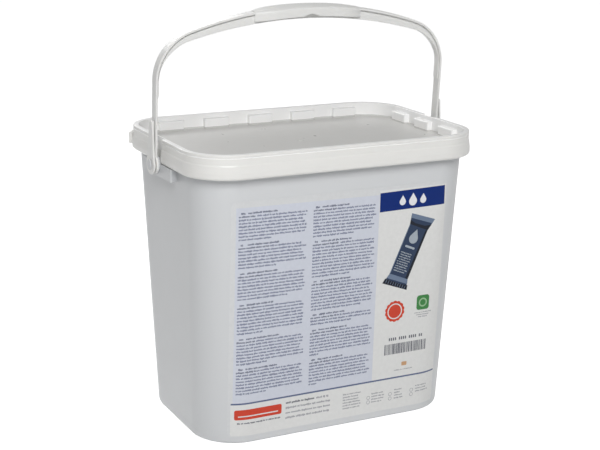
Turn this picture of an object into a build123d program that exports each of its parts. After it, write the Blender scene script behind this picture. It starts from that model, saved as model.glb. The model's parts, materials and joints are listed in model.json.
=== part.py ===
from build123d import *
import os
from math import asin, cos, degrees, radians, sin, sqrt

# A rectangular plastic pail with a snap lid, a swinging carry handle, a printed
# front label and its load of wrapped cleaning tablets.
# Millimetres. The origin is the centre of the base on the ground, +X runs along
# the long side, -Y is the labelled front and +Z is up.

# Pail body
base_length = 282.0
base_width = 177.0
base_corner = 47.0
mouth_corner = 40.0
wall_draft = 0.036
wall_thickness = 1.8
floor_thickness = 2.0
foot_radius = 4.0
foot_ring_width = 9.0
foot_recess = 1.2
shoulder_top = 279.0
shoulder_thickness = 1.8

# Lid, seen from outside
lid_length = 313.8
lid_width = 216.4
lid_corner = 45.5
lid_rise = 21.0
lid_wall = 1.6
skirt_drop = 3.5
skirt_bulge = 1.4
skirt_curl = 1.7
rim_width = 5.75
rim_edge = 0.9
bead_height = 2.4
groove_depth = 0.5
groove_width = 0.8
shoulder_line_depth = 9.6
step_line_depth = 11.0
step_depth = 0.55
plug_lean = 0.85
panel_recess = 14.8
panel_corner = 2.4

# Fit of the lid on the pail
lip_gap = 0.4
plug_gap = 0.35
lip_thickness = 1.8

# Raised pads round the inside of the lid
pad_length = 28.0
pad_depth = 5.5
pad_height = 10.3
pad_pitch = 52.0
end_pad_pitch = 48.0
pads_per_side = 5
pads_per_end = 3
pad_rounding = 1.8
gate_radius = 4.0
gate_height = 0.4

# Tear-off lug on the lid's skirt
lug_length = 16.0
lug_height = 11.5
lug_stand_out = 3.0
lug_root = 1.2
lug_centre_depth = 15.0
lug_angle = 32.0
lug_slot_width = 1.4
lug_slot_height = 4.0
lug_slot_depth = 1.2
lug_slot_pitch = 7.0

# Brackets that carry the handle, one on each short side
pivot_drop = 5.0
bracket_face = 158.0
bracket_width = 72.0
bracket_height = 13.1
bracket_top_drop = 3.9
bracket_plate = 2.0
bracket_ribs = 4
pivot_boss_height = 1.4
pivot_boss_radius = 8.0
pin_radius = 4.0
pin_clearance = 0.06
pin_head_radius = 5.2
pin_head_thickness = 1.0
axial_gap = 0.3
leg_notch = 21.0
notch_wall = 1.4
notch_clearance = 0.5

# Carry handle
handle_lean = 4.0
band_thickness = 2.3
band_width = 11.0
leg_section = 5.6
leg_flange = 1.9
leg_web = 2.2
leg_stiff_height = 44.0
eye_radius = 10.0
eye_hub_radius = 7.0
arch_rise = 151.0
arch_depth = 12.5
arch_outer_radius = 418.0
corner_outer_radius = 51.0
arch_inner_radius = 470.0
corner_inner_radius = 45.0
rib_width = 8.0
groove_web = 5.0
arch_groove = 1.4
grip_length = 118.0
grip_width = 26.0
grip_neck = 12.0
grip_end_length = 26.0
grip_skin = 2.2
grip_lip = 9.0
grip_rise = 0.6
grip_notch_width = 18.0
grip_notch_height = 3.0
grip_end_slope_share = 0.6

# Front label
label_half_width = 120.5
label_bottom = 8.0
label_height = 244.0
label_thickness = 0.25
label_corner = 6.0

# Wrapped tablets
bar_length = 90.0
bar_width = 32.5
bar_height = 21.0
bar_fin = 6.0
bar_fin_thickness = 1.2
bar_slope = 7.0
bar_gap = 0.5
fill_headroom = 38.0

cut_overrun = 5.0

# Heights of the lid, the brackets and the handle, all worked out from the pail's shoulder
lid_top = shoulder_top + lid_rise
skirt_bottom = shoulder_top - skirt_drop
shoulder_line = lid_top - shoulder_line_depth
step_line = lid_top - step_line_depth
panel_top = lid_top - panel_recess
lug_centre_height = lid_top - lug_centre_depth
bracket_top = shoulder_top - bracket_top_drop
bracket_bottom = bracket_top - bracket_height
pivot_height = shoulder_top - pivot_drop
arch_top = pivot_height + arch_rise

os.makedirs("parts", exist_ok=True)


def outer_length(height):
    return base_length + 2 * wall_draft * height


def outer_width(height):
    return base_width + 2 * wall_draft * height


def outer_corner(height):
    return base_corner + (mouth_corner - base_corner) * height / shoulder_top


# The lip stands under the lid's skirt and the plug drops inside it
lip_length = lid_length - 2 * (lid_wall + lip_gap)
lip_width = lid_width - 2 * (lid_wall + lip_gap)
lip_corner = lid_corner - lid_wall - lip_gap
lip_top = lid_top - lid_wall
handle_inner = bracket_face + pivot_boss_height + axial_gap
handle_outer = handle_inner + leg_section

# Pail: body, shoulder, lip, brackets and pivot pins in one moulding
with BuildPart() as pail:
    with BuildSketch():
        RectangleRounded(base_length, base_width, base_corner)
    with BuildSketch(Plane.XY.offset(shoulder_top)):
        RectangleRounded(outer_length(shoulder_top), outer_width(shoulder_top), mouth_corner)
    loft(ruled=True)
    foot = pail.faces().sort_by(Axis.Z)[0]
    fillet(foot.edges(), foot_radius)
    with BuildSketch(Plane.XY.offset(shoulder_top - shoulder_thickness)):
        RectangleRounded(lip_length, lip_width, lip_corner)
    extrude(amount=lip_top - shoulder_top + shoulder_thickness)
    with BuildSketch(Plane.XY.offset(shoulder_top)):
        RectangleRounded(lip_length - 2 * lip_thickness, lip_width - 2 * lip_thickness,
                         lip_corner - lip_thickness)
    extrude(amount=lip_top - shoulder_top + cut_overrun, mode=Mode.SUBTRACT)
    with BuildSketch(Plane.XY.offset(floor_thickness)):
        RectangleRounded(outer_length(floor_thickness) - 2 * wall_thickness,
                         outer_width(floor_thickness) - 2 * wall_thickness,
                         outer_corner(floor_thickness) - wall_thickness)
    with BuildSketch(Plane.XY.offset(shoulder_top)):
        RectangleRounded(outer_length(shoulder_top) - 2 * wall_thickness,
                         outer_width(shoulder_top) - 2 * wall_thickness,
                         mouth_corner - wall_thickness)
    loft(ruled=True, mode=Mode.SUBTRACT)
    with BuildSketch():
        RectangleRounded(base_length - 2 * foot_ring_width, base_width - 2 * foot_ring_width,
                         base_corner - foot_ring_width)
    extrude(amount=foot_recess, mode=Mode.SUBTRACT)

    # The lip stops at each end so that the handle's leg has its notch
    lip_inside = lip_length / 2 - lip_thickness
    for side in (-1, 1):
        with Locations((side * (lip_inside + lip_thickness), 0, shoulder_top)):
            Box(2 * lip_thickness + cut_overrun, leg_notch + 2 * (notch_wall + notch_clearance),
                lip_top, align=(Align.CENTER, Align.CENTER, Align.MIN), mode=Mode.SUBTRACT)

    # Open box bracket: a top plate, an outer plate and ribs back to the wall
    wall_at_bracket = outer_length(bracket_bottom) / 2
    bracket_depth = bracket_face - wall_at_bracket + wall_thickness / 2
    rib_pitch = (bracket_width - 3 * bracket_plate) / (bracket_ribs - 1)
    for side in (-1, 1):
        with BuildSketch(Plane.XY.offset(bracket_top)):
            with Locations((side * (bracket_face - bracket_depth / 2), 0)):
                Rectangle(bracket_depth, bracket_width)
        extrude(amount=-bracket_plate)
        with BuildSketch(Plane.XY.offset(bracket_bottom)):
            with Locations((side * (bracket_face - bracket_plate / 2), 0)):
                Rectangle(bracket_plate, bracket_width)
            with Locations((side * (bracket_face - bracket_depth / 2), 0)):
                with GridLocations(0, rib_pitch, 1, bracket_ribs):
                    Rectangle(bracket_depth, bracket_plate)
        extrude(amount=bracket_top - bracket_bottom)
        boss_plane = Plane(origin=(side * (bracket_face - bracket_plate / 2), 0, pivot_height),
                           z_dir=(side, 0, 0))
        with BuildSketch(boss_plane):
            Circle(pivot_boss_radius)
        extrude(amount=bracket_plate / 2 + pivot_boss_height)
        with BuildSketch(boss_plane):
            Circle(pin_radius)
        pin_length = handle_outer + axial_gap + pin_head_thickness
        extrude(amount=pin_length - bracket_face + bracket_plate / 2)
        head_plane = Plane(origin=(side * (handle_outer + axial_gap), 0, pivot_height),
                           z_dir=(side, 0, 0))
        with BuildSketch(head_plane):
            Circle(pin_head_radius)
        extrude(amount=pin_head_thickness)

pail.part.label = "pail"
export_step(pail.part, "parts/pail.step")


# One raised pad of the lid, hollow underneath, its back on the wall at x = 0
plug_foot = rim_width + plug_lean
with BuildPart() as pad:
    with Locations((-pad_depth / 2, 0, 0)):
        Box(pad_depth, pad_length, pad_height, align=(Align.CENTER, Align.CENTER, Align.MIN))
    front = pad.faces().sort_by(Axis.X)[0]
    fillet(front.edges().filter_by(Axis.Z) + front.edges().sort_by(Axis.Z)[-1], pad_rounding)
    with Locations((plug_lean, 0, 0)):
        Box(2 * plug_lean, pad_length, pad_height, align=(Align.CENTER, Align.CENTER, Align.MIN))

with BuildPart() as pad_hollow:
    with Locations((-(pad_depth - lid_wall) / 2, 0, -cut_overrun)):
        Box(pad_depth - lid_wall, pad_length - 2 * lid_wall, pad_height - lid_wall + cut_overrun,
            align=(Align.CENTER, Align.CENTER, Align.MIN))

# Lid: rim and skirt swept round the mouth, recessed panel, pads and tear-off lug
half_lid = lid_length / 2
half_lid_width = lid_width / 2
long_run = lid_length - 2 * lid_corner
short_run = lid_width - 2 * lid_corner
panel_bottom = panel_top - lid_wall
bulge_top = (step_line + skirt_bottom) / 2
curl_radius = skirt_bulge + skirt_curl
plug_outside = lid_wall + lip_gap + lip_thickness + plug_gap
groove_top = lid_top - bead_height
panel_join = plug_foot + panel_corner


def rim_points(*places):
    return [(half_lid + place, height) for place, height in places]


with BuildPart() as lid:
    with BuildLine() as rim_path:
        run = Line((half_lid, 0), (half_lid, short_run / 2))
        for run_length in (long_run, short_run, long_run, short_run / 2):
            corner = JernArc(run @ 1, run % 1, lid_corner, 90)
            run = Line(corner @ 1, (corner @ 1) + (corner % 1) * run_length)
    with BuildSketch(Plane.XZ):
        with BuildLine():
            outside = Polyline(*rim_points(
                (-rim_edge, lid_top), (0, lid_top - rim_edge), (0, groove_top),
                (-groove_depth, groove_top - groove_width / 2),
                (-groove_depth, groove_top - 3 * groove_width / 2),
                (0, groove_top - 2 * groove_width), (0, shoulder_line), (step_depth, step_line),
                (skirt_bulge, bulge_top), (skirt_bulge, skirt_bottom + curl_radius)))
            curl = JernArc(outside @ 1, (0, -1), curl_radius, -90)
            inside = Polyline(curl @ 1, *rim_points(
                (-skirt_curl, skirt_bottom + lid_wall / 2),
                (skirt_bulge - lid_wall, skirt_bottom + curl_radius),
                (skirt_bulge - lid_wall, bulge_top), (-lid_wall, step_line),
                (-lid_wall, lip_top), (-plug_outside, lip_top),
                (-plug_outside - plug_lean, panel_bottom), (-panel_join, panel_bottom),
                (-panel_join, panel_top)))
            hollow = JernArc(inside @ 1, (1, 0), panel_corner, 90)
            Polyline(hollow @ 1, *rim_points(
                (-rim_width, lid_top - rim_edge / 2), (-rim_width + rim_edge / 2, lid_top),
                (-rim_edge, lid_top)))
        make_face()
    sweep(path=rim_path.wires()[0])
    with BuildSketch(Plane.XY.offset(panel_bottom)):
        RectangleRounded(lid_length - 2 * plug_foot, lid_width - 2 * plug_foot, lid_corner - plug_foot)
    extrude(amount=lid_wall)

    # Pads: one row along each long side and one across each end
    pad_places = []
    for side in (-1, 1):
        long_wall = side * (half_lid_width - plug_foot)
        end_wall = side * (half_lid - plug_foot)
        for place in GridLocations(pad_pitch, 0, pads_per_side, 1):
            pad_places.append(Location((place.position.X, long_wall, panel_top), (0, 0, side * 90)))
        for place in GridLocations(0, end_pad_pitch, 1, pads_per_end):
            pad_places.append(Location((end_wall, place.position.Y, panel_top), (0, 0, 90 - side * 90)))
    with Locations(*pad_places):
        add(pad.part)
        add(pad_hollow.part, mode=Mode.SUBTRACT)
    with BuildSketch(Plane.XY.offset(panel_top)):
        Circle(gate_radius)
    extrude(amount=gate_height)

    # Closed notch at each end for the handle's leg
    for side in (-1, 1):
        with Locations((side * (half_lid - plug_outside / 2 - lid_wall / 2), 0, shoulder_top + lip_gap)):
            Box(plug_outside - lid_wall + lip_gap, leg_notch + 2 * notch_wall, lip_top - shoulder_top,
                align=(Align.CENTER, Align.CENTER, Align.MIN))
        with Locations((side * (half_lid - plug_outside), 0, skirt_bottom - cut_overrun)):
            Box(plug_outside + cut_overrun, leg_notch, lid_top,
                align=(Align.MIN if side > 0 else Align.MAX, Align.CENTER, Align.MIN), mode=Mode.SUBTRACT)

    # Tear-off lug with its two slots, on the rounded back left corner
    lug_radius = lid_corner + skirt_bulge
    lug_middle = lug_radius + (lug_stand_out - lug_root) / 2
    lug_place = Location((-long_run / 2 - lug_middle * cos(radians(lug_angle)),
                          short_run / 2 + lug_middle * sin(radians(lug_angle)), lug_centre_height),
                         (0, 0, 180 - lug_angle))
    with Locations(lug_place):
        Box(lug_stand_out + lug_root, lug_length, lug_height)
        with Locations((lug_stand_out / 2, 0, 0)):
            with GridLocations(0, lug_slot_pitch, 1, 2):
                Box(lug_slot_depth, lug_slot_width, lug_slot_height, mode=Mode.SUBTRACT)

lid.part.label = "lid"
export_step(lid.part, "parts/lid.step")


def bow_area(leg, corner_radius, top_radius, top, mode=Mode.ADD):
    """Area under a bow with upright legs, round corners and one shallow arc across the top."""
    reach = top_radius - corner_radius
    shift = asin((leg - corner_radius) / reach)
    with BuildLine() as outline:
        right = Line((leg, pivot_height), (leg, top - top_radius + reach * cos(shift)))
        corner = JernArc(right @ 1, (0, 1), corner_radius, 90 - degrees(shift))
        crown = ThreePointArc(corner @ 1, (0, top), (-(corner @ 1).X, (corner @ 1).Y))
        far_corner = JernArc(crown @ 1, crown % 1, corner_radius, 90 - degrees(shift))
        Polyline(far_corner @ 1, (-leg, pivot_height), (leg, pivot_height))
    make_face(outline.edges(), mode=mode)


def outer_bow(inset, mode=Mode.ADD):
    bow_area(handle_inner + band_thickness - inset, corner_outer_radius - inset,
             arch_outer_radius - inset, arch_top - inset, mode)


def inner_bow(mode=Mode.ADD):
    bow_area(handle_inner, corner_inner_radius, arch_inner_radius, arch_top - arch_depth, mode)


def grip_plan(inset):
    """Plan of the grip: parallel sides that close in to the bow's width at both ends."""
    side = grip_width / 2 - inset
    neck = grip_neck / 2 - inset
    end = grip_length / 2
    shoulder = end - grip_end_length
    with BuildLine() as outline:
        rise = Spline((-end, neck), (-shoulder, side), tangents=((1, grip_end_slope_share), (1, 0)))
        Line(rise @ 1, (shoulder, side))
        fall = Spline((shoulder, side), (end, neck), tangents=((1, 0), (1, -grip_end_slope_share)))
        Line(fall @ 1, (end, -neck))
        back = Spline((end, -neck), (shoulder, -side), tangents=((-1, -grip_end_slope_share), (-1, 0)))
        Line(back @ 1, (-shoulder, -side))
        last = Spline((-shoulder, -side), (-end, -neck), tangents=((-1, 0), (-1, grip_end_slope_share)))
        Line(last @ 1, rise @ 0)
    make_face(outline.edges())


# Hollow grip: a skin over the bow with a lip down each side and a peaked notch
grip_foot = arch_top - 3 * grip_lip
grip_hollow_top = grip_skin - grip_rise
with BuildPart() as grip_space:
    with BuildSketch(Plane.XY.offset(grip_foot)):
        grip_plan(grip_skin)
    extrude(amount=4 * grip_lip)
    with BuildSketch(Plane.XZ):
        outer_bow(grip_hollow_top)
    extrude(amount=grip_width, both=True, mode=Mode.INTERSECT)

with BuildPart() as grip:
    with BuildSketch(Plane.XY.offset(grip_foot)):
        grip_plan(0)
    extrude(amount=4 * grip_lip)
    with BuildSketch(Plane.XZ):
        outer_bow(-grip_rise)
        outer_bow(grip_lip, Mode.SUBTRACT)
    extrude(amount=grip_width, both=True, mode=Mode.INTERSECT)
    add(grip_space.part, mode=Mode.SUBTRACT)
    notch_foot = arch_top - grip_lip
    with BuildSketch(Plane.XZ):
        with BuildLine():
            Polyline((-grip_notch_width / 2, notch_foot - grip_notch_height),
                     (-grip_notch_width / 2, notch_foot), (0, notch_foot + grip_notch_height),
                     (grip_notch_width / 2, notch_foot),
                     (grip_notch_width / 2, notch_foot - grip_notch_height), close=True)
        make_face()
    extrude(amount=grip_width, both=True, mode=Mode.SUBTRACT)

# Carry handle, drawn upright: band, grooved bow, stiffened legs, eyes and grip
with BuildPart() as upright_handle:
    with BuildSketch(Plane.XZ):
        outer_bow(0)
        outer_bow(band_thickness, Mode.SUBTRACT)
    extrude(amount=band_width / 2, both=True)
    with BuildSketch(Plane.XZ):
        outer_bow(band_thickness / 2)
        inner_bow(Mode.SUBTRACT)
    extrude(amount=groove_web / 2, both=True)
    with BuildSketch(Plane.XZ):
        outer_bow(band_thickness + arch_groove)
        inner_bow(Mode.SUBTRACT)
    extrude(amount=rib_width / 2, both=True)
    add(grip.part)
    for side in (-1, 1):
        eye_plane = Plane(origin=(side * handle_inner, 0, pivot_height), z_dir=(side, 0, 0))
        with BuildSketch(eye_plane):
            Circle(eye_radius)
        extrude(amount=band_thickness)
        with BuildSketch(eye_plane):
            Circle(eye_hub_radius)
        extrude(amount=leg_section)
        with BuildSketch(eye_plane.offset(leg_section - leg_flange)):
            Circle(eye_radius)
        extrude(amount=leg_flange)
        with Locations((side * (handle_inner + leg_section / 2), 0, pivot_height)):
            Box(leg_section, leg_web, leg_stiff_height, align=(Align.CENTER, Align.CENTER, Align.MIN))
        with Locations((side * (handle_outer - leg_flange / 2), 0, pivot_height)):
            Box(leg_flange, band_width, leg_stiff_height, align=(Align.CENTER, Align.CENTER, Align.MIN))
        with BuildSketch(eye_plane):
            Circle(pin_radius + pin_clearance)
        extrude(amount=leg_section, mode=Mode.SUBTRACT)

# The handle stands leaning a little to the front
with BuildPart() as carry_handle:
    add(upright_handle.part.rotate(Axis((0, 0, pivot_height), (1, 0, 0)), handle_lean))

carry_handle.part.label = "carry_handle"
export_step(carry_handle.part, "parts/carry_handle.step")

# Front label: a thin film on the front wall that runs on round both front corners
with BuildPart() as front_label:
    for grow, mode in ((label_thickness, Mode.ADD), (0, Mode.SUBTRACT)):
        with BuildSketch():
            RectangleRounded(base_length + 2 * grow, base_width + 2 * grow, base_corner + grow)
        with BuildSketch(Plane.XY.offset(shoulder_top)):
            RectangleRounded(outer_length(shoulder_top) + 2 * grow,
                             outer_width(shoulder_top) + 2 * grow, mouth_corner + grow)
        loft(ruled=True, mode=mode)
    with BuildSketch(Plane.XZ):
        with Locations((0, label_bottom + label_height / 2)):
            RectangleRounded(2 * label_half_width, label_height, label_corner)
    extrude(amount=base_width, mode=Mode.INTERSECT)

front_label.part.label = "front_label"
export_step(front_label.part, "parts/front_label.step")

# One wrapped tablet: a flow-wrapped bar with a flat crimped fin at each end
with BuildPart() as bar:
    with BuildSketch(Plane.XZ):
        with BuildLine():
            fin_end = bar_length / 2
            fin_root = fin_end - bar_fin
            body_end = fin_root - bar_slope
            Polyline((fin_end, -bar_fin_thickness / 2), (fin_end, bar_fin_thickness / 2),
                     (fin_root, bar_fin_thickness / 2), (body_end, bar_height / 2),
                     (-body_end, bar_height / 2), (-fin_root, bar_fin_thickness / 2),
                     (-fin_end, bar_fin_thickness / 2), (-fin_end, -bar_fin_thickness / 2),
                     (-fin_root, -bar_fin_thickness / 2), (-body_end, -bar_height / 2),
                     (body_end, -bar_height / 2), (fin_root, -bar_fin_thickness / 2), close=True)
        make_face()
    extrude(amount=bar_width / 2, both=True)


def inside_half_length(depth, height):
    """Half the pail's inside length at a distance from its middle and a height."""
    half_length = outer_length(height) / 2 - wall_thickness
    half_width = outer_width(height) / 2 - wall_thickness
    corner = outer_corner(height) - wall_thickness
    into_corner = max(0, depth - half_width + corner)
    return half_length - corner + sqrt(corner ** 2 - into_corner ** 2)


# The load: as many bars as fit in each row, row by row and layer by layer
bar_places = []
row_pitch = bar_width + bar_gap
layer_pitch = bar_height + bar_gap
layers = int((shoulder_top - fill_headroom - floor_thickness) / layer_pitch)
for layer in range(layers):
    layer_bottom = floor_thickness + bar_gap / 2 + layer * layer_pitch
    rows = int((outer_width(layer_bottom) - 2 * wall_thickness - bar_gap) / row_pitch)
    for row in range(rows):
        row_place = (row - (rows - 1) / 2) * row_pitch
        half_row = inside_half_length(abs(row_place) + bar_width / 2, layer_bottom)
        bars = int(2 * half_row / (bar_length + bar_gap))
        for number in range(bars):
            along = (number - (bars - 1) / 2) * (bar_length + bar_gap)
            bar_places.append((along, row_place, layer_bottom + bar_height / 2))

with BuildPart() as wrapped_tablets:
    with Locations(*bar_places):
        add(bar.part)

wrapped_tablets.part.label = "wrapped_tablets"
export_step(wrapped_tablets.part, "parts/wrapped_tablets.step")
print(len(bar_places), "wrapped tablets")
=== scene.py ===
"""Looks of a lidded pail of wrapped cleaning tablets: pail, lid, carry handle, printed label and load.

Lengths are metres in the frame of the CAD part: +X along the long side, -Y out of the labelled
front, +Z up, and the origin on the ground under the middle of the pail.
"""

import json
import math
import random

import bmesh
import bpy
from bpy.props import FloatProperty, FloatVectorProperty, IntProperty, PointerProperty
from mathutils import Matrix, Vector

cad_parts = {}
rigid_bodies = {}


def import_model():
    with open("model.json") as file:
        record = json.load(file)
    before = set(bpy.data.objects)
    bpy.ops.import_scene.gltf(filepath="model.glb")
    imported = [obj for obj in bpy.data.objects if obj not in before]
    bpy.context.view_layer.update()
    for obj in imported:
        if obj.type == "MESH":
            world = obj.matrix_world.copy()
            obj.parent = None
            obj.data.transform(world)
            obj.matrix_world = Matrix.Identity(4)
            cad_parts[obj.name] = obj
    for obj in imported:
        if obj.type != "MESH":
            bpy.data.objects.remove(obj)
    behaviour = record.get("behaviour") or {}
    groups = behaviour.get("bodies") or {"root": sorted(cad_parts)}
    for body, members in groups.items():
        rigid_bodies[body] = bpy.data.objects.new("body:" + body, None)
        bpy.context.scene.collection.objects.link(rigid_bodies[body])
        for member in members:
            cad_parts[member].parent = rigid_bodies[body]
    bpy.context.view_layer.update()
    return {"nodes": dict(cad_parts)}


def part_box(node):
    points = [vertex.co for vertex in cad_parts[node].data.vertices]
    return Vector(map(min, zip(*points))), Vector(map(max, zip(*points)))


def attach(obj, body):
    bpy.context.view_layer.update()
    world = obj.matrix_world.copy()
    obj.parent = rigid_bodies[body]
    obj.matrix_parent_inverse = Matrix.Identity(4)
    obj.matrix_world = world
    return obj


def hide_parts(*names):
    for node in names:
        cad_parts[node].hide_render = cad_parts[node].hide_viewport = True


bl_info = {
    "name": "Tablet pail",
    "version": (1, 0, 0),
    "blender": (4, 5, 0),
    "location": "3D View > Sidebar > Pail",
    "description": "Builds a lidded pail of wrapped tablets with its handle and printed label",
    "category": "Add Mesh",
}

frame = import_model()

MM = 0.001
lid_low, lid_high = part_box("lid")


# Properties that a user would change


def length(name, millimetres, description):
    """A length property whose default is given in millimetres."""
    return FloatProperty(name=name, description=description, default=millimetres * MM,
                         unit="LENGTH", precision=5)


def colour(name, values, description):
    """A colour property in linear light."""
    return FloatVectorProperty(name=name, description=description, default=values,
                               subtype="COLOR", size=3, min=0.0, max=1.0)


class PailSizes(bpy.types.PropertyGroup):
    """Sizes of the pail's shell and of the brackets that carry the handle."""

    base_length: length("Base length", 282, "Length over the base on the ground")
    base_width: length("Base width", 177, "Width over the base on the ground")
    base_corner: length("Base corner", 47, "Corner radius at the ground")
    mouth_corner: length("Mouth corner", 40, "Corner radius at the shoulder")
    draft: FloatProperty(name="Draft", default=0.036, precision=4,
                         description="How far each wall leans out for each metre of height")
    wall: length("Wall", 1.8, "Thickness of the walls, the shoulder and the lip")
    floor: length("Floor", 2.0, "Thickness of the floor")
    foot_radius: length("Foot radius", 4, "Rounding of the edge that stands on the ground")
    foot_ring: length("Foot ring", 9, "Width of the ring that the pail stands on")
    foot_recess: length("Foot recess", 1.2, "Height of the recess inside the foot ring")
    shoulder: length("Shoulder height", 279, "Top of the shoulder that carries the lip")
    lip_top: length("Lip top", 298.4, "Top of the upright lip under the lid")
    lip_length: length("Lip length", 309.8, "Length over the lip")
    lip_width: length("Lip width", 212.4, "Width over the lip")
    lip_corner: length("Lip corner", 43.5, "Corner radius of the lip")
    bracket_face: length("Bracket face", 158, "Distance of the bracket's face from the middle")
    bracket_width: length("Bracket width", 72, "Width of each bracket")
    bracket_low: length("Bracket bottom", 262, "Height of the bracket's lower edge")
    bracket_high: length("Bracket top", 275.1, "Height of the bracket's top plate")
    bracket_plate: length("Bracket plate", 2, "Thickness of the bracket's plates and ribs")
    rib_pitch: length("Rib pitch", 22, "Distance between the bracket's ribs")
    pivot_height: length("Pivot height", 274, "Height of the axis that the handle swings on")
    boss_radius: length("Boss radius", 8, "Radius of the boss round each pin")
    boss_height: length("Boss height", 1.4, "Height of the boss over the bracket's face")
    pin_radius: length("Pin radius", 4, "Radius of the pin through the handle's eye")
    head_radius: length("Head radius", 5.2, "Radius of the pin's head")
    head_thickness: length("Head thickness", 1, "Thickness of the pin's head")


class LidSizes(bpy.types.PropertyGroup):
    """Sizes of the lid."""

    length: length("Lid length", 313.8, "Length over the rim")
    width: length("Lid width", 216.4, "Width over the rim")
    corner: length("Lid corner", 45.5, "Corner radius of the rim")
    wall: length("Lid wall", 1.6, "Thickness of the lid")
    rim_width: length("Rim width", 5.75, "Width of the flat rim")
    bulge: length("Skirt bulge", 1.4, "How far the skirt stands out past the rim")
    panel_drop: length("Panel drop", 14.8, "Depth of the panel under the rim")
    pad_length: length("Pad length", 28, "Length of each raised pad")
    pad_depth: length("Pad depth", 5.5, "How far a pad stands in from the wall")
    pad_height: length("Pad height", 10.3, "Height of a pad over the panel")
    pad_pitch: length("Pad pitch", 52, "Distance between the pads of a long side")
    end_pad_pitch: length("End pad pitch", 48, "Distance between the pads of an end")
    skirt_low: length("Skirt edge", 275.5, "Height of the skirt's lower edge")
    notch: length("Leg notch", 21, "Width of the notch for the handle's leg")
    gate_radius: length("Gate spot", 4, "Radius of the round spot in the middle")


class HandleSizes(bpy.types.PropertyGroup):
    """Sizes of the carry handle, drawn upright."""

    inner: length("Inner face", 159.7, "Distance of the leg's inner face from the middle")
    lean: FloatProperty(name="Lean", default=math.radians(4), subtype="ANGLE",
                        description="How far the handle leans to the front")
    band: length("Band thickness", 2.3, "Thickness of the band")
    band_width: length("Band width", 11, "Width of the band")
    leg_section: length("Leg section", 5.6, "Thickness of the stiffened leg")
    leg_height: length("Stiff leg", 44, "Height of the stiffened leg over the pivot")
    eye_radius: length("Eye radius", 10, "Radius of the eye round the pin")
    hub_radius: length("Hub radius", 7, "Radius of the eye's hub")
    crown: length("Crown", 151, "Height of the crown over the pivot")
    crown_depth: length("Crown depth", 12.5, "Depth of the bow at its crown")
    crown_radius: length("Crown radius", 418, "Radius of the shallow arc across the top")
    corner_radius: length("Corner radius", 51, "Outer radius of the bow's corners")
    inner_crown_radius: length("Inner crown", 470, "Radius of the bow's inner arc")
    inner_corner_radius: length("Inner corner", 45, "Inner radius of the bow's corners")
    grip_length: length("Grip length", 118, "Length of the hand grip")
    grip_width: length("Grip width", 26, "Width of the hand grip")
    grip_lip: length("Grip lip", 9, "Depth of the lip down each side of the grip")


class LabelSizes(bpy.types.PropertyGroup):
    """Sizes of the label film. Places along it are measured round the wall from its middle."""

    half_width: length("Half width", 120.6, "Distance of the film's ends from its middle")
    low: length("Lower edge", 8, "Height of the film's lower edge")
    high: length("Upper edge", 252, "Height of the film's upper edge")
    corner: length("Film corner", 4, "Corner radius of the film")
    film: length("Film", 0.25, "Thickness of the film")
    ink: length("Ink", 0.04, "Height of each layer of ink over the one below")
    line_pitch: length("Line pitch", 3.27, "Distance between lines of the greeked text")
    seed: IntProperty(name="Seed", default=11, description="Seed of the greeked text")


class Finishes(bpy.types.PropertyGroup):
    """Colours of the mouldings, the film and the ink."""

    body: colour("Body", (0.655, 0.668, 0.680), "Cool white of the pail")
    lid: colour("Lid", (0.83, 0.825, 0.80), "Warm white of the lid")
    handle: colour("Handle", (0.80, 0.80, 0.785), "White of the carry handle")
    film: colour("Film", (0.675, 0.686, 0.695), "Film where nothing is printed")
    ground: colour("Ground", (0.755, 0.757, 0.745), "Pale ground of the print")
    panel: colour("Text panel", (0.632, 0.658, 0.735), "Pale blue field behind the text")
    text: colour("Text", (0.165, 0.185, 0.285), "Ink of the text")
    navy: colour("Navy", (0.004, 0.024, 0.165), "Dark blue of the banner")
    red: colour("Red", (0.62, 0.06, 0.03), "Red of the rosette and the bar")
    green: colour("Green", (0.05, 0.22, 0.06), "Green of the small plate")
    mint: colour("Mint", (0.3, 0.5, 0.28), "Ring on the green plate")
    white: colour("White ink", (0.76, 0.76, 0.76), "White of the rosette's ring and the bar's line")
    drops: colour("Drops", (0.8, 0.81, 0.84), "Drops on the banner")
    wrap: colour("Wrap", (0.05, 0.09, 0.2), "Dark blue of the tablets' wrap")
    rule: colour("Rule", (0.09, 0.12, 0.23), "Grey blue of the rule")
    grey: colour("Grey ink", (0.34, 0.34, 0.37), "Ink of the small print")
    black: colour("Dark ink", (0.1, 0.105, 0.13), "Ink of the bars and the number line")
    orange: colour("Orange", (0.56, 0.33, 0.17), "Orange of the small mark")
    picture: colour("Picture", (0.022, 0.040, 0.085), "Wrap of the pictured tablet")
    shade: colour("Picture shade", (0.004, 0.007, 0.016), "Shaded side of the pictured tablet")
    sheen: colour("Picture sheen", (0.13, 0.18, 0.27), "Crimped ends of the pictured tablet")
    pale: colour("Picture print", (0.36, 0.41, 0.46), "Print on the pictured tablet")


# Materials


class Signal:
    """A shader socket. Python's operators on it add Math nodes."""

    def __init__(self, nodes, socket):
        self.nodes = nodes
        self.socket = socket

    def _math(self, operation, first, second):
        return self.nodes.node("ShaderNodeMath", {"operation": operation}, {0: first, 1: second})

    def __add__(self, other):
        return self._math("ADD", self, other)

    def __radd__(self, other):
        return self._math("ADD", other, self)

    def __sub__(self, other):
        return self._math("SUBTRACT", self, other)

    def __rsub__(self, other):
        return self._math("SUBTRACT", other, self)

    def __mul__(self, other):
        return self._math("MULTIPLY", self, other)

    def __rmul__(self, other):
        return self._math("MULTIPLY", other, self)

    def __lt__(self, other):
        return self._math("LESS_THAN", self, other)


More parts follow.
